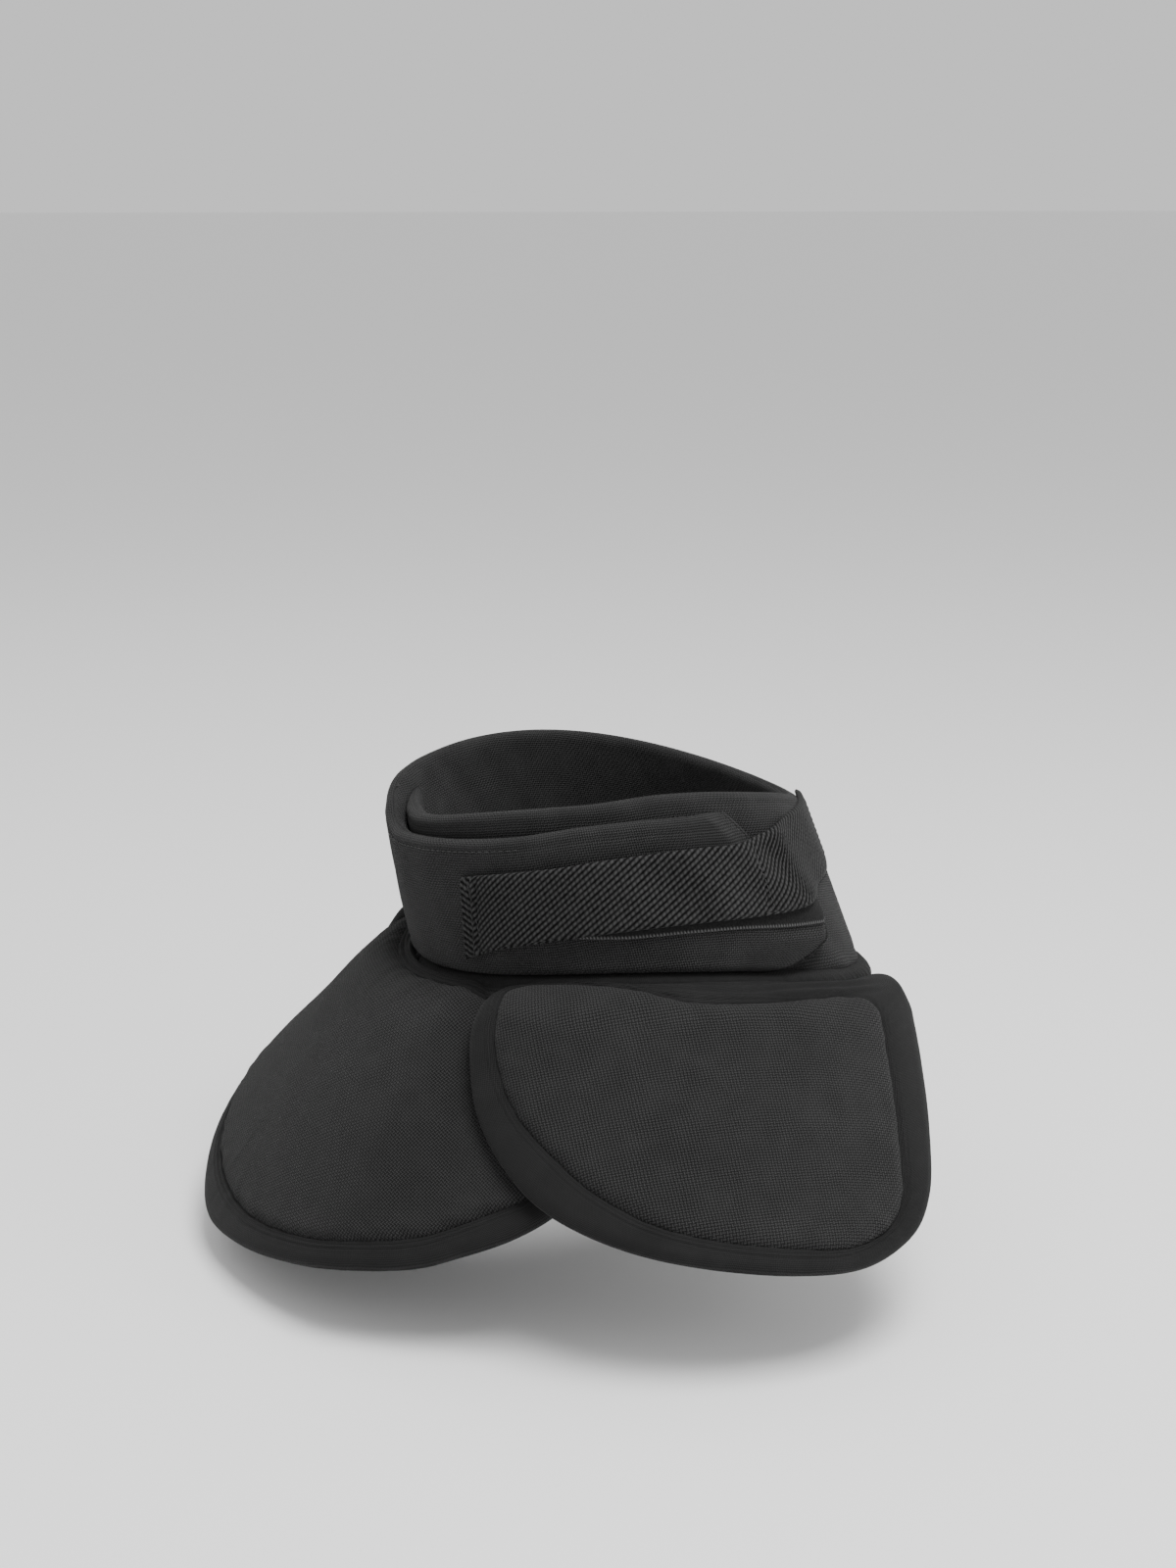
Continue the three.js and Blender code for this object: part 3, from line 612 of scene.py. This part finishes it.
FLAP_ROWS = [
    (0.434, 0.997, 0.431, 0.927), (0.512, 0.993, 0.488, 0.938), (0.604, 0.912, 0.546, 0.906),
    (0.668, 0.791, 0.595, 0.83), (0.738, 0.575, 0.646, 0.602), (0.818, 0.32, 0.695, 0.33),
    (0.878, 0.15, 0.72, 0.194), (0.965, 0.05, 0.715, 0.136), (0.93, 0.008, 0.675, 0.117),
    (0.764, 0.005, 0.585, 0.119), (0.561, 0, 0.496, 0.126), (0.358, 0, 0.366, 0.117),
    (0.211, 0, 0.228, 0.037), (0.089, 0, 0.092, 0.024), (0.016, 0.068, 0.038, 0.06),
    (0, 0.204, 0.04, 0.165), (0.015, 0.333, 0.056, 0.3), (0.045, 0.489, 0.1, 0.476),
    (0.103, 0.669, 0.159, 0.621), (0.156, 0.786, 0.203, 0.718), (0.244, 0.898, 0.276, 0.835),
    (0.333, 0.961, 0.35, 0.893),
]
OUTLINE_STEPS = 16


def closed_curve(corners, steps):
    """Closed curve through the corners, eased by the square root of their distances."""
    before, here, after, later = [np.roll(corners, k, axis=0) for k in (1, 0, -1, -2)]
    pairs = (before, here), (here, after), (after, later)
    d0, d1, d2 = [np.linalg.norm(b - a, axis=1, keepdims=True) ** 0.5 for a, b in pairs]
    leave = d1 * ((here - before) / d0 - (after - before) / (d0 + d1) + (after - here) / d1)
    arrive = d1 * ((after - here) / d1 - (later - here) / (d1 + d2) + (later - after) / d2)
    s = (np.arange(steps) / steps)[None, :, None]
    a, b = here[:, None], after[:, None]
    u, v = leave[:, None], arrive[:, None]
    curve = a + u * s + (3 * (b - a) - 2 * u - v) * s ** 2 + (2 * (a - b) + u + v) * s ** 3
    return curve.reshape(-1, 2)


def skirt_outline(skirt, rows, columns):
    """Angles and lengths down of one outline of a skirt."""
    corners = np.array(rows)[:, columns]
    corners = corners * [skirt["span"], skirt["length"]] + [skirt["first"], 0]
    return closed_curve(corners, OUTLINE_STEPS)


def flat_cloth(skirt, angle, down):
    """Place on the cloth as it was cut: the skirt unrolled about the tip of its cone."""
    slope = np.radians(skirt["slope"]["left"])
    turn = np.radians(angle - skirt["middle"]) * skirt["fan"] * np.cos(slope)
    reach = HALF_WIDTH / (skirt["fan"] * np.cos(slope)) + down
    return np.stack([reach * np.sin(turn), -reach * np.cos(turn)], -1) * MM


# %% [markdown]
# A border is a soft tube pressed flat between the outer edge and the panel. Its section is a
# table again, smooth enough to take highlights. The cloth is cut on a curve and turned
# round the edge, so it gathers: fine wrinkles cross it. Folds run along it under the collar,
# a piping follows the panel, and its inner edge reaches under the panel to close the seam.

# %% Borders
BORDER_THICKNESS = 6.5
TUCKED_UNDER = 1.6
BORDER_POINTS = 76
SEAM_FOLDS = 0.45
PIPING_PITCH = 1.7
PIPING_RISE = 0.3
BORDER_PROFILE = [
    (0, 0), (0.03, 0.2), (0.12, 0.37), (0.28, 0.49), (0.45, 0.5), (0.62, 0.485),
    (0.78, 0.44), (0.9, 0.36), (0.97, 0.2), (1, 0),
]


def outline_length(points):
    """Length along a closed line of points, starting at nought."""
    steps = np.linalg.norm(np.roll(points, -1, 0) - points, axis=1) / MM
    return np.r_[0, np.cumsum(steps)]


def skirt_border(name, skirt, rows, seed):
    """Border between the two outlines: a flattened tube with cross wrinkles."""
    edge = skirt_outline(skirt, rows, [0, 1])
    pad = skirt_outline(skirt, rows, [2, 3])
    from_edge = skirt_point(skirt, edge[:, 0], edge[:, 1], 0 * edge[:, 0])
    to_pad = skirt_point(skirt, pad[:, 0], pad[:, 1], 0 * pad[:, 0])
    width = np.linalg.norm(to_pad - from_edge, axis=1) / MM
    run = outline_length(from_edge)
    turn = 2 * np.pi * np.arange(BORDER_POINTS) / BORDER_POINTS
    share = 0.5 - 0.5 * np.cos(turn)
    lift = np.sign(np.sin(turn)) * table_value(BORDER_PROFILE, share)
    wide = width[:, None] + TUCKED_UNDER
    reach = share * ((width + TUCKED_UNDER) / width)[:, None]
    place = edge[:, None] + (pad - edge)[:, None] * reach[..., None]
    wrinkle = waves(run[:-1, None] / 4.2 + share * 1.7, seed, 0.7, 3.2, 9)
    broad = waves(run[:-1, None] / 19 + 0 * share, seed + 1, 0.7, 2.4, 5)
    bump = (0.09 * wrinkle * (0.35 + share) + 0.16 * broad) * np.sin(turn / 2) * (lift > 0)
    seam_free = ease(place[..., 1] / 6)
    near_seam = ease(place[..., 1] / 2) * (1 - ease((place[..., 1] - 9) / 6)) * (lift > 0)
    near_seam = near_seam * (1 - ease((np.abs(place[..., 0] - skirt["middle"]) - 38) / 12))
    folds = np.sin(place[..., 1] * 1.5 + 1.6 * waves(place[..., 0] / 9, seed + 2, 0.6, 2, 5))
    to_pad_edge = np.clip(1 - share, 0, 1) * wide - TUCKED_UNDER
    piping = np.cos(2 * np.pi * to_pad_edge / PIPING_PITCH)
    piping = piping * groove(to_pad_edge - PIPING_PITCH, PIPING_PITCH)
    high = lift * BORDER_THICKNESS + bump * seam_free + SEAM_FOLDS * folds * near_seam
    high = high + PIPING_RISE * piping * (lift > 0)
    points = skirt_point(skirt, place[..., 0], place[..., 1], high)
    girth = np.append(np.where(turn <= np.pi, share, 2 - share), 2)
    girth = girth * np.vstack([wide, wide[:1]])
    cloth = np.stack([run[:, None] + 0 * girth, girth], -1) * MM
    piece = sheet_piece(name, points, cloth, along_joined=True)
    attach(piece, "root")
    return piece


bib_border = skirt_border("bib_edge_roll", BIB, BIB_ROWS, 31)
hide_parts("front_bib_border")
left_border = skirt_border("left_flap_edge_roll", LEFT_FLAP, FLAP_ROWS, 41)
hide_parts("rear_left_border")
right_border = skirt_border("right_flap_edge_roll", RIGHT_FLAP, FLAP_ROWS, 51)
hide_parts("rear_right_border")

# %% [markdown]
# Foam pushes its cloth outwards, most where nothing holds it. A formula only guesses at that,
# so Blender's cloth solver does it, with pressure inside, no gravity and the rim held.

# %% Swelling by simulated cloth
VOXEL = 5
PRESSURE = 4
SWELL_FRAMES = 20
MOST_SWELL = 1.6
PINNED = 6
SMALL_LENGTH = 1e-9
BATCHES = 60


def mesh_points(mesh):
    """Places of all points of a mesh, one row each."""
    places = np.empty(len(mesh.vertices) * 3)
    mesh.vertices.foreach_get("co", places)
    return places.reshape(-1, 3)


def swell(piece, rim):
    """Blow a pad up from inside with Blender's cloth, held along its rim, and keep the result.

    The cloth runs on a coarse copy. Each point of the fine pad then moves by the mean of the
    coarse points round it, weighted by a bell curve of their distance.
    """
    fine = mesh_points(piece.data)
    coarse = bpy.data.objects.new(piece.name + "_coarse", piece.data.copy())
    bpy.context.scene.collection.objects.link(coarse)
    remesh = coarse.modifiers.new("voxels", "REMESH")
    remesh.mode = "VOXEL"
    remesh.voxel_size = VOXEL * MM
    bpy.context.view_layer.update()
    depsgraph = bpy.context.evaluated_depsgraph_get()
    blocks = bpy.data.meshes.new_from_object(coarse.evaluated_get(depsgraph))
    coarse.modifiers.clear()
    coarse.data = blocks
    start = mesh_points(blocks)
    to_rim = np.linalg.norm(start[:, None] - rim[None], axis=2).min(1)
    held = coarse.vertex_groups.new(name="held")
    held.add(np.flatnonzero(to_rim < PINNED * MM).tolist(), 1.0, "REPLACE")
    cloth = coarse.modifiers.new("cloth", "CLOTH")
    cloth.settings.use_pressure = True
    cloth.settings.uniform_pressure_force = PRESSURE
    cloth.settings.effector_weights.gravity = 0
    cloth.settings.vertex_group_mass = "held"
    for step in range(1, SWELL_FRAMES + 1):
        bpy.context.scene.frame_set(step)
    result = coarse.evaluated_get(bpy.context.evaluated_depsgraph_get()).data
    moved = mesh_points(result) - start
    length = np.linalg.norm(moved, axis=1, keepdims=True)
    moved = moved * np.minimum(1, MOST_SWELL * MM / np.maximum(length, SMALL_LENGTH))
    bpy.context.scene.frame_set(1)
    bpy.data.objects.remove(coarse)
    for part in np.array_split(np.arange(len(fine)), BATCHES):
        near = np.linalg.norm(fine[part][:, None] - start[None], axis=2) / (VOXEL * MM)
        weight = np.exp(-near ** 2)
        off_rim = np.linalg.norm(fine[part][:, None] - rim[None, ::4], axis=2).min(1) / MM
        shift = weight @ moved / weight.sum(1, keepdims=True) * ease((off_rim - 2) / 10)[:, None]
        fine[part] = fine[part] + shift
    piece.data.vertices.foreach_set("co", fine.ravel())
    piece.data.update()
    print(piece.name, "swelled by up to", round(float(length.max() / MM), 2), "mm before the cap")


# %% [markdown]
# A panel is a pad of firm foam under woven cloth. Its face is nearly flat, rolls over a
# shoulder a few millimetres wide, and dips into the seam round it. The stitches pull the
# cloth, which leaves short puckers along the edge that fade out towards the middle.
# The rings of points shrink from the outline to the centre, closely spaced at the shoulder.

# %% Panels
PANEL_THICKNESS = 9.5
SHOULDER = 6.5
CROWN = 0.7
PUCKER = 0.16
PANEL_RINGS = 46


def skirt_panel(name, skirt, rows, seed):
    """Pad between its two faces: rings shrink towards the centre, lifted by a round shoulder."""
    pad = skirt_outline(skirt, rows, [2, 3])
    centre = pad.mean(0)
    edge_points = skirt_point(skirt, pad[:, 0], pad[:, 1], 0 * pad[:, 0])
    middle_point = skirt_point(skirt, centre[0:1], centre[1:2], np.zeros(1))
    reach = np.linalg.norm(edge_points - middle_point, axis=1) / MM
    run = outline_length(edge_points)[:-1]
    inward = np.linspace(0, 1, PANEL_RINGS) ** 2.2 * 0.995
    side = np.r_[np.ones(PANEL_RINGS), -np.ones(PANEL_RINGS // 2)]
    inward = np.r_[inward[::-1], inward[::2]]
    place = pad + (centre - pad) * inward[:, None, None]
    distance = inward[:, None] * reach
    shoulder = np.sqrt(1 - (1 - np.clip(distance / SHOULDER, 0, 1)) ** 2)
    crown = CROWN * ease(distance / 45)
    fade = np.clip(distance / 1.5, 0, 1) * np.exp(-distance / 7)
    pucker = PUCKER * waves(run / 3.4 + 0 * distance, seed, 0.7, 2.6, 8) * fade * 2
    soft = 0.22 * waves(run / 26 + distance / 30, seed + 1, 0.5, 2, 6) * ease(distance / 14)
    soft = soft * (1 - ease((inward[:, None] - 0.5) / 0.4))
    top = PANEL_THICKNESS / 2 * shoulder + crown + pucker + soft
    under = -PANEL_THICKNESS / 2 * shoulder
    high = np.where(side[:, None] > 0, top, under)
    points = skirt_point(skirt, place[..., 0], place[..., 1], high)
    cloth = flat_cloth(skirt, place[..., 0], place[..., 1])
    cloth = np.concatenate([cloth, cloth[:, :1]], 1)
    piece = sheet_piece(name, points, cloth, fans=True)
    swell(piece, edge_points)
    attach(piece, "root")
    return piece


bib_panel = skirt_panel("bib_pad", BIB, BIB_ROWS, 61)
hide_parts("front_bib_panel")
left_panel = skirt_panel("left_flap_pad", LEFT_FLAP, FLAP_ROWS, 71)
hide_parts("rear_left_panel")
right_panel = skirt_panel("right_flap_pad", RIGHT_FLAP, FLAP_ROWS, 81)
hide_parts("rear_right_panel")

# %% [markdown]
# Stitches are thread that dives in and out of the cloth. Each one is a small six-sided
# lozenge laid along the seam, and a whole row of them is one mesh, made by copying the same
# five rings of six points to every place and turning them with two directions: along the
# seam and out of the cloth.

# %% Stitches
THREAD = 0.42


def stitch_row(name, starts, ends, outward, slot):
    """Lozenges from each start to each end, half sunk, with the given outward directions."""
    along = ends - starts
    long = np.linalg.norm(along, axis=1, keepdims=True)
    along = along / long
    outward = outward - along * np.sum(outward * along, 1, keepdims=True)
    outward = outward / np.linalg.norm(outward, axis=1, keepdims=True)
    aside = np.cross(along, outward)
    stations = np.array([0, 0.12, 0.5, 0.88, 1])
    fat = np.array([0.05, 0.7, 1, 0.7, 0.05])
    turn = 2 * np.pi * np.arange(6) / 6
    ring = np.stack([np.cos(turn), np.sin(turn)], 1)
    middle = starts[:, None] + (along * long)[:, None] * stations[None, :, None]
    offsets = ring[:, 0, None] * aside[:, None, None] + ring[:, 1, None] * outward[:, None, None]
    points = middle[:, :, None] + offsets * fat[:, None, None] * THREAD * MM / 2
    first = (np.arange(len(starts)) * 30)[:, None, None]
    i, j = np.meshgrid(np.arange(4) * 6, np.arange(6), indexing="ij")
    after = (j + 1) % 6
    corners = np.stack([i + j, i + after, i + 6 + after, i + 6 + j], -1)
    quads = (first[..., None] + corners).reshape(-1, 4)
    near = [(0, k + 1, k) for k in range(1, 5)]
    far = [(24, 24 + k, 25 + k) for k in range(1, 5)]
    tris = (first + np.array(near + far)).reshape(-1, 3)
    quad_cloth, tri_cloth = np.zeros((len(quads), 4, 2)), np.zeros((len(tris), 3, 2))
    piece = mesh_piece(name, points.reshape(-1, 3), quads, quad_cloth, tris, tri_cloth)
    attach(piece, "root")
    return piece


def dashes(points, outward, pitch, filled):
    """Starts, ends and outward directions of even dashes along a line of points."""
    length = np.r_[0, np.cumsum(np.linalg.norm(np.diff(points, axis=0), axis=1))] / MM
    begin = np.arange(pitch / 2, length[-1] - pitch, pitch)
    at = lambda where, rows: np.stack([np.interp(where, length, rows[:, k]) for k in range(3)], 1)
    return at(begin, points), at(begin + pitch * filled, points), at(begin, outward)


def line_on(angle, height, out):
    """Line at those angles, heights and distances out, and its outward directions."""
    line = ring_point(angle, height, out)
    return line, ring_point(angle, height, out + 1) - line


hem_turns = np.linspace(352, 417, 200)
hem_up = COLLAR_HEIGHT * table_value(BAND_TOP, hem_turns) - HEM - HEM_EDGE
hem_height = round_neck(**SEAT, angle=hem_turns) + SEAT_GAP + hem_up
hem_line = line_on(hem_turns, hem_height, band_out(hem_turns) + BAND_THICKNESS / 2 - 0.1)
hem_stitches = stitch_row("lap_hem_stitches", *dashes(*hem_line, 2.6, 0.72), "collar_cloth")


def strap_line(angles, sides):
    """Line on the strap's outer face and its outward directions."""
    height = COLLAR_HEIGHT * table_value(STRAP_ROUTE, angles) + sides
    return line_on(angles, height, strap_inside(angles, height) + STRAP_THICKNESS + 0.12)


tip_rows = []
for beside in (FOLD_LENGTH - 2.4, FOLD_LENGTH - 0.4):
    sides = np.linspace(-13, 13, 60)
    angles = STRAP_START + np.degrees(beside / ((HALF_DEPTH + HALF_WIDTH) / 2)) + 0 * sides
    line, outward = strap_line(angles, sides)
    tip_rows.append(dashes(line + (outward / MM) * 0.35 * MM, outward, 2.4, 0.75))
sides = np.linspace(-11, 11, 60)
for angle in (CROSS_STITCH, STRAP_END - 1.6, STRAP_END - 4):
    line, outward = strap_line(angle + 0 * sides, sides)
    tip_rows.append(dashes(line - 0.7 * outward * (angle > 130), outward, 2.2, 0.7))
tip_dashes = [np.vstack(part) for part in zip(*tip_rows)]
tip_stitches = stitch_row("strap_tip_stitches", *tip_dashes, "webbing")
print("stitches:", len(hem_stitches.data.polygons) // 32 + len(tip_stitches.data.polygons) // 32)

# %% [markdown]
# All the finishes are cloth, so one small language serves them all. A value in a material is
# wrapped so that plus, times and the like add Math nodes, and every other node is made by one
# method that takes its kind, its settings and its inputs. A weave is two sets of threads:
# where one passes over, the other dips, in a chequer. The same height feeds the roughness and
# the bump, and it darkens the colour in the dips as painted shade.

# %% A small language for materials
class Value:
    """Socket whose arithmetic adds Math nodes to its finish."""

    def __init__(self, finish, socket):
        self.finish = finish
        self.socket = socket

    def math(self, operation, *others):
        return self.finish.node("ShaderNodeMath", {"operation": operation}, [self, *others])

    def __add__(self, other):
        return self.math("ADD", other)

    def __mul__(self, other):
        return self.math("MULTIPLY", other)

    def __sub__(self, other):
        return self.math("SUBTRACT", other)

    def __rsub__(self, other):
        return self.math("MULTIPLY_ADD", -1.0, other)

    __radd__ = __add__
    __rmul__ = __mul__

    def bounded(self):
        return self.math("MINIMUM", 1.0).math("MAXIMUM", 0.0)


class Finish:
    """Material under construction, with its principled shader."""

    def __init__(self, name):
        self.material = bpy.data.materials.new(name)
        self.material.use_nodes = True
        self.nodes = self.material.node_tree.nodes
        self.links = self.material.node_tree.links
        self.shader = self.nodes["Principled BSDF"]

    def node(self, kind, settings=None, inputs=(), output=0):
        """Adds a node: settings first, then values or links into its inputs, by place or name."""
        made = self.nodes.new(kind)
        for key, value in (settings or {}).items():
            setattr(made, key, value)
        pairs = inputs.items() if isinstance(inputs, dict) else enumerate(inputs)
        for key, value in pairs:
            self.feed(made.inputs[key], value)
        return Value(self, made.outputs[output])

    def feed(self, socket, value):
        if isinstance(value, Value):
            self.links.new(value.socket, socket)
        else:
            socket.default_value = value

    def blend(self, share, first, second):
        """Colour between two colours."""
        return self.node("ShaderNodeMix", {"data_type": "RGBA"}, {0: share, 6: first, 7: second}, 2)

    def surface(self, **inputs):
        for key, value in inputs.items():
            self.feed(self.shader.inputs[key.replace("_", " ")], value)

    def noise(self, where, scale, detail):
        return self.node("ShaderNodeTexNoise", {}, {
            "Vector": where, "Scale": scale, "Detail": detail, "Roughness": 0.55})

    def body(self):
        """Place on the object itself."""
        return self.node("ShaderNodeTexCoord", {}, (), 3)

    def on_cloth(self):
        """Millimetres along the cloth and across it."""
        place = self.node("ShaderNodeUVMap", {"uv_map": "cloth"})
        both = [self.node("ShaderNodeSeparateXYZ", {}, [place], k) for k in (0, 1)]
        return [one * (CLOTH_UNIT / MM) for one in both]


# %% Plain weave and the cloths made of it
def tone(grey):
    """Neutral colour."""
    return (grey, grey, grey, 1.0)


def cloth_finish(name, thread, dark, light, rough, relief, sheen):
    """Woven nylon: thread is the distance between threads in millimetres."""
    finish = Finish(name)
    place = finish.node("ShaderNodeUVMap", {"uv_map": "cloth"})
    body = finish.body()
    warped = finish.node("ShaderNodeVectorMath", {"operation": "MULTIPLY_ADD"}, {
        0: finish.node("ShaderNodeTexNoise", {}, {"Vector": body, "Scale": 60.0, "Detail": 3.0}, 1),
        1: (0.012, 0.012, 0.0), 2: place})
    across = finish.node("ShaderNodeSeparateXYZ", {}, [warped], 0)
    down = finish.node("ShaderNodeSeparateXYZ", {}, [warped], 1)
    turns = np.pi * CLOTH_UNIT / (thread * MM)
    a, b = (across * turns).math("SINE"), (down * turns).math("SINE")
    over = (a * b * 6.0 + 0.5).bounded()
    warp, weft = a * a, b * b
    height = warp * over + weft * (1.0 - over)
    fibre = finish.noise(place, CLOTH_UNIT / (thread * MM) * 2.2, 2.0)
    slub = finish.noise(body, 95.0, 3.0)
    broad = finish.noise(body, 11.0, 2.0)
    # The thread height in this colour paints shade into the dips between threads; fibre, slub and
    # broad are the cloth's random tone.
    tint = (height * 0.8 + fibre * 0.35 + slub * 0.35 + broad * 0.3 - 0.5).bounded()
    colour = finish.blend(tint, tone(dark), tone(light))
    bump = finish.node("ShaderNodeBump", {}, {
        "Strength": relief, "Distance": thread * MM * 0.35,
        "Height": height + fibre * 0.35 + slub * 0.5})
    finish.surface(Base_Color=colour, Roughness=(rough + height * -0.10 + slub * 0.12), Normal=bump)
    finish.surface(Sheen_Weight=sheen, Sheen_Roughness=0.5, Specular_IOR_Level=0.05)
    return finish.material


collar_finish = cloth_finish("collar nylon", 0.85, 0.002, 0.040, 0.85, 0.9, 0.06)
panel_finish = cloth_finish("panel nylon", 0.9, 0.006, 0.038, 0.88, 0.9, 0.04)
border_finish = cloth_finish("border nylon", 0.6, 0.005, 0.024, 0.75, 0.5, 0.03)
for piece, material in (
    (collar_band, collar_finish), (bib_panel, panel_finish), (left_panel, panel_finish),
    (right_panel, panel_finish), (base_welt, border_finish), (bib_border, border_finish),
    (left_border, border_finish), (right_border, border_finish),
):
    piece.data.materials.append(material)

# %% [markdown]
# Webbing is smoother and a little glossier than the weaves, and its twill is already relief
# in the mesh. Its finish adds the yarns inside each rib, and paints shade into the grooves
# between the ribs and between the yarns. The loop tape is the
# opposite: a fuzz of tiny loops with no order, and a lighter woven edge.

# %% Webbing, loop tape and thread
webbing = Finish("twill webbing")
body = webbing.body()
run, side = webbing.on_cloth()
rib_turns = 2 * np.pi / TWILL_PITCH
in_fold = (run - (FOLD_LENGTH - 1)).math("SIGN")
painted_rib_shade = run * (np.sin(TWILL_LEAN) * rib_turns) - in_fold * side * (np.cos(TWILL_LEAN) * rib_turns)
painted_rib_shade = painted_rib_shade.math("COSINE") * 0.5 + 0.5
yarn_turns = np.pi / YARN_PITCH
yarn = run * (np.cos(YARN_LEAN) * yarn_turns) + side * (np.sin(YARN_LEAN) * yarn_turns)
yarns = yarn.math("SINE").math("ABSOLUTE")
fuzz = webbing.noise(body, 700.0, 3.0)
broad = webbing.noise(body, 24.0, 3.0)
# The rib and yarn terms paint shade into the grooves between ribs and between yarns; fuzz and broad
# are the webbing's random tone.
tint = (painted_rib_shade * (0.45 + yarns * 0.6) + fuzz * 0.7 + broad * 0.3 - 0.50).bounded()
webbing.surface(
    Base_Color=webbing.blend(tint, tone(0.0010), tone(0.040)),
    Roughness=0.66 + fuzz * 0.2,
    Normal=webbing.node("ShaderNodeBump", {}, {
        "Strength": 0.5, "Distance": 0.15 * MM, "Height": yarns * 0.7 + fuzz * 0.6}))
webbing.surface(Sheen_Weight=0.03, Sheen_Roughness=0.4, Specular_IOR_Level=0.06)
strap.data.materials.append(webbing.material)

tape = Finish("loop tape")
run, side = tape.on_cloth()
loops = tape.noise(tape.body(), 1500.0, 3.0)
edge = (1.7 - side * 1.25).bounded()
picks = (run * (2 * np.pi / TOOTH_PITCH)).math("COSINE") * 0.5 + 0.5
tint = (edge * (0.1 + picks * 0.9) + loops * 0.25 - 0.08).bounded()
tape.surface(
    Base_Color=tape.blend(tint, tone(0.006), tone(0.085)),
    Roughness=0.9,
    Normal=tape.node("ShaderNodeBump", {}, {
        "Strength": 0.7, "Distance": 0.3 * MM, "Height": loops + picks * edge}))
tape.surface(Sheen_Weight=0.05, Sheen_Roughness=0.5, Specular_IOR_Level=0.06)
patch.data.materials.append(tape.material)

thread = Finish("sewing thread")
twist = thread.noise(thread.body(), 1800.0, 2.0)
thread.surface(Base_Color=thread.blend(twist, tone(0.006), tone(0.03)), Roughness=0.5 + twist * 0.2)
for piece in (hem_stitches, tip_stitches):
    piece.data.materials.append(thread.material)

# %% [markdown]
# Black cloth is lit by what it reflects. One large lamp high on the camera's side makes the
# broad soft light, a faint one beyond the bib draws the far rims, and a weak one fills the
# rear. The floor and the world are pale, so the outline stays clear.

# %% Floor, world and lamps
FLOOR_BELOW = 12 * MM
FLOOR_REACH = 60
PALE = 0.88


def lamp(name, spot, size, power):
    """Square area lamp that faces the collar."""
    light = bpy.data.lights.new(name, "AREA")
    light.size = size
    light.energy = power
    holder = bpy.data.objects.new(name, light)
    aim = LOOK_AT - np.array(spot)
    holder.location = spot
    around = np.arctan2(-aim[0], aim[1])
    tilt = np.arctan2(np.hypot(aim[0], aim[1]), -aim[2])
    holder.rotation_euler = (tilt, 0, around)
    bpy.context.scene.collection.objects.link(holder)


floor_height = MEASURED_BOX[0][2] - FLOOR_BELOW
floor_mesh = bpy.data.meshes.new("floor")
corners = np.array([(-1, -1, 0), (1, -1, 0), (1, 1, 0), (-1, 1, 0)]) * FLOOR_REACH
corners = corners + [0, 0, floor_height]
floor_mesh.from_pydata(corners, [], [(0, 1, 2, 3)])
floor = bpy.data.objects.new("floor", floor_mesh)
bpy.context.scene.collection.objects.link(floor)
pale = Finish("pale floor")
pale.surface(Base_Color=tone(PALE), Roughness=0.9)
floor_mesh.materials.append(pale.material)
world = bpy.data.worlds.new("studio")
world.use_nodes = True
sky = world.node_tree.nodes["Background"].inputs
sky["Color"].default_value = tone(0.95)
sky["Strength"].default_value = 0.85
bpy.context.scene.world = world
lamp("key", (0.55, 0.15, 1.3), 0.7, 28)
lamp("rim", (-0.9, -0.5, 0.9), 0.8, 1.5)
lamp("fill", (1.2, 1.1, 0.6), 0.7, 5.5)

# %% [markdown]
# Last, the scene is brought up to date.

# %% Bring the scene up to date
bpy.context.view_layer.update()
